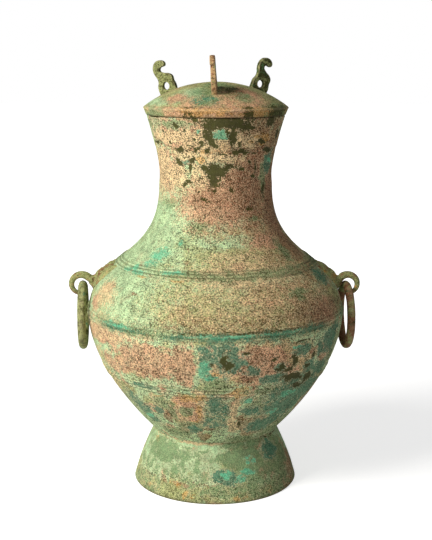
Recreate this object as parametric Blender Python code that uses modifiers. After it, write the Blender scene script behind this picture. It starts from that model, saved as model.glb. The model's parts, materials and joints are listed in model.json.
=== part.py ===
"""Archaistic bronze vase with a lift-off lid, three finials and two mask handles with rings.

Metres, +Z up. The origin is at the middle of the foot's underside, the front looks along -Y,
and the two handles lie on the X axis.
"""
import math

import bmesh
import bpy
from mathutils import Matrix, Vector

# Heights of the vessel above the ground
FOOT_HEIGHT = 0.0576
BELLY_HEIGHT = 0.1817
NECK_HEIGHT = 0.3178
MOUTH_HEIGHT = 0.390
FLOOR_HEIGHT = 0.0500

# Outer radii of the vessel
FOOT_RADIUS = 0.0875
WAIST_RADIUS = 0.0650
BELLY_RADIUS = 0.1344
NECK_RADIUS = 0.0588
MOUTH_RADIUS = 0.0710

# Walls of the vessel
BODY_WALL = 0.0030
LIP_WALL = 0.0050
FOOT_WALL = 0.0040
FLOOR_WALL = 0.0035

# Swell of the outline: angles in degrees, handles as shares of their own stretch of height
BOWL_ANGLE = 45.3
MOUTH_FLARE = 17.1
BOWL_RISE = 0.645
BELLY_UNDER = 0.167
BELLY_OVER = 0.486
NECK_UNDER = 0.600
NECK_OVER = 0.111
MOUTH_UNDER = 0.804
FOOT_BULGE = 0.0020
FLOOR_SPREAD = 0.6
FLOOR_TURN = 0.0120
FLOOR_DROP = 0.0060

# Small edges
LIP_ROUND = 0.0012
FOOT_EDGE = 0.0008

# Collar below the mouth
COLLAR_DEPTH = 0.0310
COLLAR_RELIEF = 0.0005
COLLAR_STEP = 0.0012

# Three ribbed bands round the body: heights of their middles, width and relief
LOWER_BAND = 0.1282
MIDDLE_BAND = 0.1883
UPPER_BAND = 0.2401
BAND_WIDTH = 0.0105
BAND_RELIEF = 0.0011
# Ribs across a band as shares of half its width and of its relief
BAND_RIBS = ((1.0, 0.0), (0.84, 1.0), (0.45, 0.2), (0.0, 0.9), (-0.45, 0.2), (-0.84, 1.0), (-1.0, 0.0))

# Lid
LID_RIM_HEIGHT = 0.0077
LID_RIM_FLARE = 0.0031
LID_OVERHANG = 0.0008
LID_DOME_RISE = 0.0253
LID_WALL = 0.0032
FLANGE_WALL = 0.0030
FLANGE_DEPTH = 0.0120
FLANGE_CLEARANCE = 0.0008

# Finials: plates set upright on the lid's dome
FINIAL_HEIGHT = 0.0365
FINIAL_THICKNESS = 0.0053
FINIAL_HOLE = 0.0040
# Outer side of a finial from its foot to its curl and down again, as shares of its height
FINIAL_OUTLINE = (
    (0.305, 0.170), (0.290, 0.300), (0.298, 0.435), (0.210, 0.545), (0.070, 0.617),
    (-0.025, 0.715), (0.020, 0.782), (0.103, 0.785), (0.175, 0.785), (0.212, 0.858),
    (0.172, 0.940), (0.068, 0.998), (-0.065, 0.990), (-0.170, 0.903), (-0.220, 0.777),
    (-0.212, 0.640), (-0.172, 0.503), (-0.192, 0.400), (-0.248, 0.308), (-0.270, 0.143),
)
FINIAL_FOOT = 0.270
FINIAL_HOLE_PLACE = (0.010, 0.235)
# Distances of the finials from the lid's axis
FINIAL_FRONT_REACH = 0.0430
FINIAL_RIGHT_REACH = 0.0505
FINIAL_LEFT_REACH = 0.0555
# Name, direction round the lid, distance from the lid's axis, side of the curl, lean of the
# outline in its plane and tilt of the plate sideways; angles are in degrees
FINIALS = (
    ("finial_front", -94.7, FINIAL_FRONT_REACH, 1, 0.0, 3.5),
    ("finial_right", 27.8, FINIAL_RIGHT_REACH, 1, -5.0, 0.0),
    ("finial_left", 147.8, FINIAL_LEFT_REACH, -1, -2.2, 0.0),
)

# Mask handles on the shoulder
MASK_HEIGHT = 0.2238
MASK_WIDTH = 0.0500
MASK_LENGTH = 0.0385
MASK_EDGE = 0.0012
MASK_SWELL = 0.0024
MASK_CHIN = 0.42
MASK_HORN_NOTCH = 0.13
MASK_HORN_WAVES = 2.4
MASK_HORN_SPREAD = 1.2
MASK_CHIN_ROUND = 0.3
# Lumps of a mask's face: across, along, half width, half length, as shares of the mask's length,
# and height in metres; each lump is on both sides
MASK_LUMPS = (
    (0.00, -0.10, 0.090, 0.300, 0.0026),
    (0.00, 0.39, 0.150, 0.120, 0.0024),
    (0.21, 0.05, 0.085, 0.075, 0.0024),
    (0.22, 0.21, 0.170, 0.060, 0.0018),
    (0.42, 0.30, 0.100, 0.110, 0.0020),
    (0.20, -0.25, 0.120, 0.070, 0.0016),
)
HOOK_EYE = 0.0069
HOOK_NOSE_BAR = 0.0028
HOOK_NOSE_REACH = 0.0060
HOOK_ROOT_BAR = 0.0050
HOOK_BAR = 0.0042
HOOK_TIP = 0.0022
HOOK_ROOT_DROP = 0.01106
HOOK_FALL = 0.0025
HOOK_START_ANGLE = 126.0
HOOK_END_ANGLE = -82.0

# Rings that hang in the hooks
RING_RADIUS = 0.0320
RING_BAR = 0.0044
RING_INSET = 0.0017
RING_CLEARANCE = 0.00513
# Name of the side, its direction along X, how much lower its handle sits, how low the ring lies
# in its hook's eye, and the ring's turn about the vertical in degrees
SIDES = (("left", -1, 0.0, 0.0006, 0.0), ("right", 1, 0.0025, 0.0009, 1.0))

# Gap between castings that touch
FIT_GAP = 0.0003

# Fineness of the facets
TURN_STEPS = 36
PROFILE_STEP = 0.0130
INSIDE_STEP = 0.0220
FLOOR_POINTS = 4
DOME_POINTS = 7
MASK_COLUMNS = 14
MASK_ROWS = 11
HOOK_POINTS = 11
RING_SEGMENTS = 24
RING_SIDES = 8

# Colour and roughness of each piece's bronze
FINISHES = {
    "vessel": ((0.36, 0.36, 0.22), 0.80),
    "lid": ((0.36, 0.33, 0.20), 0.80),
    "finial": ((0.22, 0.27, 0.14), 0.70),
    "mask": ((0.30, 0.34, 0.18), 0.75),
    "ring": ((0.22, 0.20, 0.12), 0.65),
}


def bezier_point(points, share):
    """Point at a share of the way along a cubic curve in (radius, height)."""
    rest = 1.0 - share
    weights = (rest ** 3, 3 * rest ** 2 * share, 3 * rest * share ** 2, share ** 3)
    return tuple(sum(w * p[i] for w, p in zip(weights, points)) for i in range(2))


def body_curves():
    """Outline of the body from the waist up: bowl, shoulder and neck."""
    bowl = BELLY_HEIGHT - FOOT_HEIGHT
    shoulder = NECK_HEIGHT - BELLY_HEIGHT
    throat = MOUTH_HEIGHT - NECK_HEIGHT
    angle = math.radians(BOWL_ANGLE)
    flare = math.radians(MOUTH_FLARE)
    rise = BOWL_RISE * bowl
    reach = MOUTH_UNDER * throat
    return (
        ((WAIST_RADIUS, FOOT_HEIGHT),
         (WAIST_RADIUS + rise * math.cos(angle), FOOT_HEIGHT + rise * math.sin(angle)),
         (BELLY_RADIUS, BELLY_HEIGHT - BELLY_UNDER * bowl),
         (BELLY_RADIUS, BELLY_HEIGHT)),
        ((BELLY_RADIUS, BELLY_HEIGHT),
         (BELLY_RADIUS, BELLY_HEIGHT + BELLY_OVER * shoulder),
         (NECK_RADIUS, NECK_HEIGHT - NECK_UNDER * shoulder),
         (NECK_RADIUS, NECK_HEIGHT)),
        ((NECK_RADIUS, NECK_HEIGHT),
         (NECK_RADIUS, NECK_HEIGHT + NECK_OVER * throat),
         (MOUTH_RADIUS - reach * math.sin(flare), MOUTH_HEIGHT - reach * math.cos(flare)),
         (MOUTH_RADIUS, MOUTH_HEIGHT)),
    )


CURVES = body_curves()


def body_radius(height):
    """Outer radius of the plain body at a height, found by halving along its curve."""
    curve = next((c for c in CURVES if height <= c[3][1]), CURVES[-1])
    low, high = 0.0, 1.0
    for _ in range(40):
        middle = (low + high) / 2
        if bezier_point(curve, middle)[1] < height:
            low = middle
        else:
            high = middle
    return bezier_point(curve, high)[0]


def body_normal(height):
    """Outward direction of the body's surface at a height, as (radius, height)."""
    step = 0.0002
    low = max(height - step, FOOT_HEIGHT)
    high = min(height + step, MOUTH_HEIGHT)
    run = body_radius(high) - body_radius(low)
    rise = high - low
    length = math.hypot(run, rise)
    return rise / length, -run / length


def body_point(height, proud=0.0):
    """Point that stands proud of the body's surface, as (radius, height)."""
    across, up = body_normal(height)
    return body_radius(height) + proud * across, height + proud * up


def climb(height, distance):
    """Height reached after a distance along the body's surface, upwards if positive."""
    steps = 12
    for _ in range(steps):
        height += distance / steps * body_normal(height)[0]
    return height


def spaced(high, low, step):
    """Heights between two ends, from high to low, without the ends."""
    count = max(1, round((high - low) / step))
    return [high + (low - high) * i / count for i in range(1, count)]


def lip_and_collar():
    """Outside of the mouth, from the lip down to the plain neck."""
    shoulder = MOUTH_HEIGHT - LIP_ROUND
    edge = MOUTH_HEIGHT - COLLAR_DEPTH
    points = [(MOUTH_RADIUS + COLLAR_RELIEF - LIP_ROUND, MOUTH_HEIGHT)]
    points.append(body_point(shoulder, COLLAR_RELIEF))
    points += [body_point(h, COLLAR_RELIEF) for h in spaced(shoulder, edge, PROFILE_STEP)]
    points.append(body_point(edge, COLLAR_RELIEF))
    points.append(body_point(edge - COLLAR_STEP))
    return points


def band(middle):
    """Ribs of one band from its upper edge to its lower edge."""
    heights = [climb(middle, share * BAND_WIDTH / 2) for share, _ in BAND_RIBS]
    return [body_point(h, rib[1] * BAND_RELIEF) for h, rib in zip(heights, BAND_RIBS)]


def body_outside():
    """Outside of the body from the lip to the waist."""
    points = lip_and_collar()
    high = MOUTH_HEIGHT - COLLAR_DEPTH - COLLAR_STEP
    for middle in sorted((LOWER_BAND, MIDDLE_BAND, UPPER_BAND), reverse=True):
        top = climb(middle, BAND_WIDTH / 2)
        points += [body_point(h) for h in spaced(high, top, PROFILE_STEP)]
        points += band(middle)
        high = climb(middle, -BAND_WIDTH / 2)
    points += [body_point(h) for h in spaced(high, FOOT_HEIGHT, PROFILE_STEP)]
    points.append((WAIST_RADIUS, FOOT_HEIGHT))
    return points


def foot_radius(height):
    """Outer radius of the foot at a height."""
    share = height / FOOT_HEIGHT
    straight = FOOT_RADIUS + (WAIST_RADIUS - FOOT_RADIUS) * share
    return straight + 4 * FOOT_BULGE * share * (1 - share)


def foot_outside():
    """Outside of the foot below the waist, down to the ground."""
    heights = spaced(FOOT_HEIGHT, FOOT_EDGE, PROFILE_STEP) + [FOOT_EDGE]
    points = [(foot_radius(h), h) for h in heights]
    points.append((foot_radius(0.0) - FOOT_EDGE, 0.0))
    return points


def foot_inside():
    """Hollow of the foot, from the ground up its wall and along the underside to the axis."""
    edge = FOOT_HEIGHT - FLOOR_WALL
    heights = [0.0] + spaced(edge, 0.0, INSIDE_STEP)[::-1] + [edge]
    points = [(foot_radius(h) - FOOT_WALL, h) for h in heights]
    rim = points[-1]
    middle = FLOOR_HEIGHT - FLOOR_WALL
    curve = (rim, (rim[0] - FLOOR_TURN, rim[1] - FLOOR_DROP),
             (FLOOR_SPREAD * rim[0], middle), (0.0, middle))
    points += [bezier_point(curve, i / FLOOR_POINTS) for i in range(1, FLOOR_POINTS + 1)]
    return points


def wall_at(height):
    """Thickness of the body's wall, which grows towards the lip."""
    edge = MOUTH_HEIGHT - COLLAR_DEPTH
    share = min(max((height - edge) / COLLAR_DEPTH, 0.0), 1.0)
    return BODY_WALL + (LIP_WALL - BODY_WALL) * share


def bore_radius():
    """Radius of the opening at the mouth."""
    return MOUTH_RADIUS - LIP_WALL


def body_inside():
    """Hollow of the body, from the axis along the floor and up to the lip."""
    heights = spaced(MOUTH_HEIGHT - FLANGE_DEPTH, FOOT_HEIGHT, INSIDE_STEP)[::-1]
    waist = body_point(FOOT_HEIGHT, -BODY_WALL)
    angle = math.radians(BOWL_ANGLE)
    curve = ((0.0, FLOOR_HEIGHT), (FLOOR_SPREAD * waist[0], FLOOR_HEIGHT),
             (waist[0] - FLOOR_TURN * math.cos(angle), waist[1] - FLOOR_DROP * math.sin(angle)),
             waist)
    points = [bezier_point(curve, i / FLOOR_POINTS) for i in range(FLOOR_POINTS + 1)]
    points += [body_point(h, -wall_at(h)) for h in heights]
    points.append((throat_radius(), MOUTH_HEIGHT - FLANGE_DEPTH - FIT_GAP))
    points.append((bore_radius(), MOUTH_HEIGHT))
    return points


def throat_radius():
    """Inner radius just below the lid's flange."""
    height = MOUTH_HEIGHT - FLANGE_DEPTH
    return body_point(height, -wall_at(height))[0]


def turned(name, profile, finish):
    """Piece made by turning a profile of (radius, height) points about the vertical axis."""
    mesh = bpy.data.meshes.new(name)
    edges = [(i, i + 1) for i in range(len(profile) - 1)]
    mesh.from_pydata([(r, 0.0, z) for r, z in profile], edges, [])
    piece = add_piece(name, mesh, finish)
    screw = piece.modifiers.new("turn", "SCREW")
    screw.steps = TURN_STEPS
    screw.render_steps = TURN_STEPS
    screw.use_merge_vertices = True
    screw.merge_threshold = 0.00001
    return piece


def new_material(name, colour, roughness):
    """Plain patinated bronze."""
    material = bpy.data.materials.new(name)
    material.use_nodes = True
    shader = material.node_tree.nodes["Principled BSDF"]
    shader.inputs["Base Color"].default_value = (*colour, 1.0)
    shader.inputs["Roughness"].default_value = roughness
    shader.inputs["Metallic"].default_value = 0.1
    return material


def add_piece(name, data, finish):
    """Put a mesh or curve in the vase's collection as a piece with its own material."""
    piece = bpy.data.objects.new(name, data)
    bpy.data.collections["archaistic_bronze_vase"].objects.link(piece)
    data.materials.append(new_material(name + "_bronze", *FINISHES[finish]))
    return piece


def make_vessel():
    """Hollow body, neck and foot, cast as one."""
    profile = body_inside() + body_outside() + foot_outside() + foot_inside()
    return turned("vessel", profile, "vessel")


def lid_seat():
    """Height of the lid's seat, just above the lip."""
    return MOUTH_HEIGHT + FIT_GAP


def lid_rim_radius():
    """Radius of the lid's sharp corner, where its dome begins."""
    return MOUTH_RADIUS + LID_OVERHANG + LID_RIM_FLARE


def dome_radius():
    """Radius of the sphere that the dome is part of."""
    rim = lid_rim_radius()
    return (rim ** 2 + LID_DOME_RISE ** 2) / (2 * LID_DOME_RISE)


def dome_centre():
    """Height of the middle of the dome's sphere."""
    return lid_seat() + LID_RIM_HEIGHT + LID_DOME_RISE - dome_radius()


def dome_height(radius, sink=0.0):
    """Height of the dome at a distance from the axis, sunk inwards by a wall."""
    return dome_centre() + math.sqrt((dome_radius() - sink) ** 2 - radius ** 2)


def make_lid():
    """Hollow dome with a slanting rim and a flange that drops into the mouth."""
    rim = lid_rim_radius()
    flange = bore_radius() - FLANGE_CLEARANCE
    inside = flange - FLANGE_WALL
    outer = [rim * i / DOME_POINTS for i in range(DOME_POINTS + 1)]
    profile = [(r, dome_height(r)) for r in outer]
    profile.append((MOUTH_RADIUS + LID_OVERHANG, lid_seat()))
    profile.append((flange, lid_seat()))
    taper = flange - (MOUTH_RADIUS - body_radius(MOUTH_HEIGHT - FLANGE_DEPTH))
    profile.append((taper, lid_seat() - FLANGE_DEPTH + FIT_GAP))
    profile.append((taper - FLANGE_WALL, lid_seat() - FLANGE_DEPTH + FIT_GAP))
    inner = [inside * i / (DOME_POINTS - 1) for i in range(DOME_POINTS)][::-1]
    profile += [(r, dome_height(r, LID_WALL)) for r in inner]
    return turned("lid", profile, "lid")


def finial_points(side, lean):
    """Outline of a finial with its foot on the dome, in its own plane with +Y up."""
    size = FINIAL_HEIGHT
    turn = Matrix.Rotation(math.radians(-lean), 2)
    points = [turn @ Vector((side * x * size, y * size)) for x, y in FINIAL_OUTLINE]
    reach = dome_radius() + FIT_GAP
    foot = [x * FINIAL_FOOT * size * side for x in (-1, 0, 1)]
    base = [Vector((x, math.sqrt(reach ** 2 - x ** 2) - dome_radius())) for x in foot]
    return base, points


def add_spline(curve, points, handles):
    """Closed Bezier spline through points in the curve's plane."""
    spline = curve.splines.new("BEZIER")
    spline.bezier_points.add(len(points) - 1)
    spline.use_cyclic_u = True
    for knot, point, kind in zip(spline.bezier_points, points, handles):
        knot.co = (point.x, point.y, 0.0)
        knot.handle_left_type = kind
        knot.handle_right_type = kind


def make_finial(name, direction, distance, side, lean, tilt):
    """Flat curled plate, pierced low down, set square on the dome in a plane through its axis."""
    curve = bpy.data.curves.new(name, "CURVE")
    curve.dimensions = "2D"
    curve.fill_mode = "BOTH"
    curve.resolution_u = 2
    curve.extrude = FINIAL_THICKNESS / 2
    base, points = finial_points(side, lean)
    add_spline(curve, base + points, ["VECTOR"] * len(base) + ["AUTO"] * len(points))
    turn = Matrix.Rotation(math.radians(-lean), 2)
    x, y = FINIAL_HOLE_PLACE
    middle = turn @ Vector((side * x * FINIAL_HEIGHT, y * FINIAL_HEIGHT))
    quarters = [Vector((math.cos(a), math.sin(a))) for a in (0.0, math.pi / 2, math.pi, 1.5 * math.pi)]
    add_spline(curve, [middle + FINIAL_HOLE * q for q in quarters], ["AUTO"] * 4)
    curve.splines[-1].resolution_u = 3
    piece = add_piece(name, curve, "finial")
    slope = math.asin(distance / dome_radius())
    around = math.radians(direction)
    outward = Matrix.Rotation(around, 4, "Z") @ Matrix.Rotation(slope, 4, "Y")
    centre = Vector((0.0, 0.0, dome_centre()))
    place = Matrix.Translation(centre + outward @ Vector((0.0, 0.0, dome_radius())))
    upright = Matrix.Rotation(math.pi / 2 + math.radians(tilt), 4, "X")
    piece.matrix_world = place @ outward @ upright
    return piece


def smooth_lump(distance):
    """Rounded lump that falls from 1 at its middle to 0 at its edge."""
    return (1.0 - distance ** 2) ** 2 if distance < 1.0 else 0.0


def mask_half_width(along):
    """Half the width of the mask at a share of its length: broad horns above, narrow chin below."""
    share = min((along + 1) / 2 * MASK_HORN_SPREAD, 1.0)
    return MASK_WIDTH / 2 * (MASK_CHIN + (1 - MASK_CHIN) * math.sin(math.pi / 2 * share))


def mask_half_length(across, along):
    """Half the length of the mask: three lobes along its top, a rounded chin below."""
    if along > 0:
        wave = (1 - math.cos(MASK_HORN_WAVES * math.pi * across)) / 2
        return MASK_LENGTH / 2 * (1 - along * MASK_HORN_NOTCH * wave)
    return MASK_LENGTH / 2 * (1 - MASK_CHIN_ROUND * (along * across) ** 2)


def mask_height(across, along):
    """Relief of the mask's face above the body, from shares of its half width and half length."""
    swell = (1 - across ** 2) * (1 - along ** 2)
    height = MASK_EDGE + MASK_SWELL * math.sqrt(max(swell, 0.0))
    x = abs(across) * mask_half_width(along) / MASK_LENGTH
    y = along / 2
    for side, place, wide, long, proud in MASK_LUMPS:
        distance = math.hypot((x - side) / wide, (y - place) / long)
        height += proud * smooth_lump(distance)
    return height


def mask_ground(height):
    """How far the mask's back stands off the plain body, where it rides over the upper band."""
    row = MASK_LENGTH / MASK_ROWS
    edge = climb(UPPER_BAND, -BAND_WIDTH / 2) - row
    share = min(max((height - edge) / row + 1.0, 0.0), 1.0)
    return FIT_GAP + BAND_RELIEF * share


def make_mask_face(side, drop):
    """Slab that follows the shoulder, with the face's relief on its outside."""
    shape = bmesh.new()
    bmesh.ops.create_grid(shape, x_segments=MASK_COLUMNS, y_segments=MASK_ROWS, size=1.0)
    front = shape.faces[:]
    back = bmesh.ops.extrude_face_region(shape, geom=front, use_keep_orig=True)
    rear = {v for v in back["geom"] if isinstance(v, bmesh.types.BMVert)}
    for vertex in shape.verts:
        across, along = vertex.co.x, vertex.co.y
        height = climb(MASK_HEIGHT - drop, along * mask_half_length(across, along))
        proud = mask_ground(height)
        if vertex not in rear:
            proud += mask_height(across, along)
        angle = across * mask_half_width(along) / body_radius(height)
        radius, level = body_point(height, proud)
        vertex.co = (side * radius * math.cos(angle), radius * math.sin(angle), level)
    bmesh.ops.recalc_face_normals(shape, faces=shape.faces[:])
    if shape.calc_volume(signed=True) < 0:
        bmesh.ops.reverse_faces(shape, faces=shape.faces[:])
    mesh = bpy.data.meshes.new("mask_face")
    shape.to_mesh(mesh)
    shape.free()
    return mesh


def hook_root():
    """Height on the body where the hook leaves the mask's nose."""
    return climb(MASK_HEIGHT, -HOOK_ROOT_DROP)


def reach_behind_ring(height):
    """How far out the body comes behind a ring that hangs straight down from a height."""
    reach = 0.0
    for i in range(RING_SEGMENTS):
        angle = 2 * math.pi * i / RING_SEGMENTS
        across = RING_RADIUS * math.sin(angle)
        level = height - RING_RADIUS + RING_RADIUS * math.cos(angle)
        reach = max(reach, math.sqrt(body_radius(level) ** 2 - across ** 2))
    return reach


def hook_centre(drop):
    """Middle of the hook's eye, as (radius, height), far enough out for the ring to hang clear."""
    height = hook_root() - HOOK_FALL
    return reach_behind_ring(height) + RING_CLEARANCE + RING_BAR + RING_INSET, height - drop


def hook_path(drop):
    """Middle line of the hook, from inside the mask's nose round the eye, with its bar radii."""
    x, z = hook_centre(drop)
    root = hook_root() - drop
    nose = climb(root, HOOK_NOSE_REACH)
    path = [(*body_point(nose, HOOK_NOSE_BAR + FIT_GAP), HOOK_NOSE_BAR)]
    path.append((*body_point(root, HOOK_ROOT_BAR + FIT_GAP), HOOK_ROOT_BAR))
    for i in range(HOOK_POINTS):
        share = i / (HOOK_POINTS - 1)
        angle = math.radians(HOOK_START_ANGLE + (HOOK_END_ANGLE - HOOK_START_ANGLE) * share)
        bar = HOOK_BAR + (HOOK_TIP - HOOK_BAR) * share
        radius = HOOK_EYE + bar
        path.append((x + radius * math.cos(angle), z + radius * math.sin(angle), bar))
    return path


def make_hook(side, drop):
    """Tapering bar bent round the ring, as a closed mesh."""
    curve = bpy.data.curves.new("hook", "CURVE")
    curve.dimensions = "3D"
    curve.bevel_depth = 1.0
    curve.bevel_resolution = 2
    curve.use_fill_caps = True
    path = hook_path(drop)
    spline = curve.splines.new("POLY")
    spline.points.add(len(path) - 1)
    for point, (x, z, bar) in zip(spline.points, path):
        point.co = (side * x, 0.0, z, 1.0)
        point.radius = bar
    bar_object = bpy.data.objects.new("hook", curve)
    bpy.data.collections["tools"].objects.link(bar_object)
    mesh = welded_mesh(bar_object)
    bpy.data.objects.remove(bar_object)
    return mesh


def welded_mesh(piece):
    """Mesh of an object with its modifiers and caps joined."""
    bpy.context.view_layer.update()
    evaluated = piece.evaluated_get(bpy.context.evaluated_depsgraph_get())
    mesh = bpy.data.meshes.new_from_object(evaluated)
    shape = bmesh.new()
    shape.from_mesh(mesh)
    bmesh.ops.remove_doubles(shape, verts=shape.verts[:], dist=0.000001)
    bmesh.ops.recalc_face_normals(shape, faces=shape.faces[:])
    shape.to_mesh(mesh)
    shape.free()
    return mesh


def make_mask(name, side, drop):
    """Monster mask with the hook that its nose runs out into, cast as one."""
    face = add_piece(name, make_mask_face(side, drop), "mask")
    hook = bpy.data.objects.new(name + "_hook", make_hook(side, drop))
    bpy.data.collections["tools"].objects.link(hook)
    hook.hide_render = True
    hook.display_type = "WIRE"
    union = face.modifiers.new("hook", "BOOLEAN")
    union.operation = "UNION"
    union.solver = "EXACT"
    union.object = hook
    return face


def make_ring(name, side, drop, sink, turn):
    """Loose ring that lies in the hook's eye, with its pivot on the swing axis there."""
    x, z = hook_centre(drop)
    pivot = bpy.data.objects.new(name + "_pivot", None)
    pivot.location = (side * (x - RING_INSET), 0.0, z - sink)
    pivot.rotation_euler = (0.0, 0.0, math.radians(turn))
    bpy.data.collections["tools"].objects.link(pivot)
    bpy.ops.mesh.primitive_torus_add(major_segments=RING_SEGMENTS, minor_segments=RING_SIDES,
                                     major_radius=RING_RADIUS, minor_radius=RING_BAR)
    torus = bpy.context.active_object
    ring = add_piece(name, torus.data, "ring")
    bpy.data.objects.remove(torus)
    ring.parent = pivot
    ring.location = (0.0, 0.0, -RING_RADIUS)
    ring.rotation_euler = (0.0, math.pi / 2, 0.0)
    return ring


def clear_scene():
    """Empty the scene and give it the collections for pieces and tools."""
    for item in list(bpy.data.objects):
        bpy.data.objects.remove(item, do_unlink=True)
    for name in ("archaistic_bronze_vase", "tools"):
        collection = bpy.data.collections.new(name)
        bpy.context.scene.collection.children.link(collection)


def main():
    clear_scene()
    make_vessel()
    make_lid()
    for finial in FINIALS:
        make_finial(*finial)
    for word, side, drop, sink, turn in SIDES:
        make_mask("mask_" + word, side, drop)
        make_ring("ring_" + word, side, drop, sink, turn)


main()
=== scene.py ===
import functools
import itertools
import json
import math

import bmesh
import bpy
import numpy as np
from mathutils import Matrix, Vector


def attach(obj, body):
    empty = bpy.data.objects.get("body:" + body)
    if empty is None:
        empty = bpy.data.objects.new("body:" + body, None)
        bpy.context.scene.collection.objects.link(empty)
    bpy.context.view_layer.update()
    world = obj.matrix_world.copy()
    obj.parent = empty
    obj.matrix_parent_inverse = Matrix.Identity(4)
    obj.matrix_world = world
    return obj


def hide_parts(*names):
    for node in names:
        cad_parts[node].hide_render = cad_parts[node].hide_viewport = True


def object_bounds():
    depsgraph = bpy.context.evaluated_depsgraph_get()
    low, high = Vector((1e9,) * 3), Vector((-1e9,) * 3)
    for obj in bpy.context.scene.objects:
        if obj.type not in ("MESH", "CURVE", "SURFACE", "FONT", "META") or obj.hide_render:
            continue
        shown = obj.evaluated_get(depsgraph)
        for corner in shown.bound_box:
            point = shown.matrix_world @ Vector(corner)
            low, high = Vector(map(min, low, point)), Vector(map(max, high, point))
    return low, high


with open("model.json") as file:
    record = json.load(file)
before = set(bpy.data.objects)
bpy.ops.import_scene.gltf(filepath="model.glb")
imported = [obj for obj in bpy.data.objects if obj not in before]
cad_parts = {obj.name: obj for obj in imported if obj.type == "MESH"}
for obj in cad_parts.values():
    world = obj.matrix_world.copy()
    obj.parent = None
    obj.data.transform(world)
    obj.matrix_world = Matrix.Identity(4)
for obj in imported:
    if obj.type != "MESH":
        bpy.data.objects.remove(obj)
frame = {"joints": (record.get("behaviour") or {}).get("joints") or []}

bl_info = {
    "name": "Archaistic bronze vase",
    "version": (1, 0, 0),
    "blender": (4, 5, 0),
    "location": "3D View > Sidebar > Vase",
    "description": "Makes a lidded bronze vase with mask handles, loose rings and a mineral crust",
    "category": "Add Mesh",
}

# Box round the CAD frame, before anything is added
CAD_LOW, CAD_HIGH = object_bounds()
# Direction, in degrees round the vase from +X, of the side that faces the camera
FRONT = -93.2
# Camera, found by fitting the vase's outline: picture height and lens in pixels, place in metres before
# it is turned round the vase, and that turn, its look down and its roll in degrees
PICTURE_HEIGHT = 540
LENS_PIXELS = 1098.2
CAMERA_PLACE = (0.0006, -1.14, 0.4523)
CAMERA_ROUND, CAMERA_DOWN, CAMERA_ROLL = -3.2, 11.19, 0.136
# Soft lights: name, place, side of the square, power in watts and colour
LIGHT_AIM = (0.0, 0.0, 0.20)
LIGHTS = (
    ("key", (-1.35, -0.85, 1.25), 0.9, 47.5, (1.0, 0.975, 0.93)),
    ("fill", (0.5, -1.8, 0.8), 1.2, 4.0, (0.95, 0.97, 1.0)),
)
# Floor: radius, drop below the foot, shade, and glow near the vase and far from it
FLOOR_RADIUS = 9.0
FLOOR_DROP = 0.0001
FLOOR_SHADE = 0.75
FLOOR_GLOW = (0.66, 1.0)
# Distances from the vase, in metres, between which the floor's glow rises
FLOOR_FADE = (0.25, 1.3)
# Light from all round, which the camera itself sees as full white
WORLD_LIGHT = 0.18
WHITE = (1.0, 1.0, 1.0, 1.0)


def length(name, description, default):
    """Length property in metres."""
    return bpy.props.FloatProperty(name=name, description=description, default=default,
                                   unit="LENGTH", precision=5, min=0.0)


def share(name, description, default):
    """Property that is a share of another size."""
    return bpy.props.FloatProperty(name=name, description=description, default=default,
                                   subtype="FACTOR", min=-1.0, max=4.0)


def degrees(name, description, default):
    """Angle property, whose default is given in degrees."""
    return bpy.props.FloatProperty(name=name, description=description,
                                   default=math.radians(default), subtype="ANGLE")


def count(name, description, default):
    """Whole number property."""
    return bpy.props.IntProperty(name=name, description=description, default=default, min=3)


def tone(red, green, blue):
    """Linear colour from red, green and blue between 0 and 255."""
    parts = [c / 255 for c in (red, green, blue)]
    return tuple(c / 12.92 if c <= 0.04045 else ((c + 0.055) / 1.055) ** 2.4 for c in parts)


def colour(name, description, *rgb):
    """Colour property, whose default is given between 0 and 255."""
    return bpy.props.FloatVectorProperty(name=name, description=description, size=3,
                                         default=tone(*rgb), subtype="COLOR", min=0.0, max=1.0)


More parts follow.
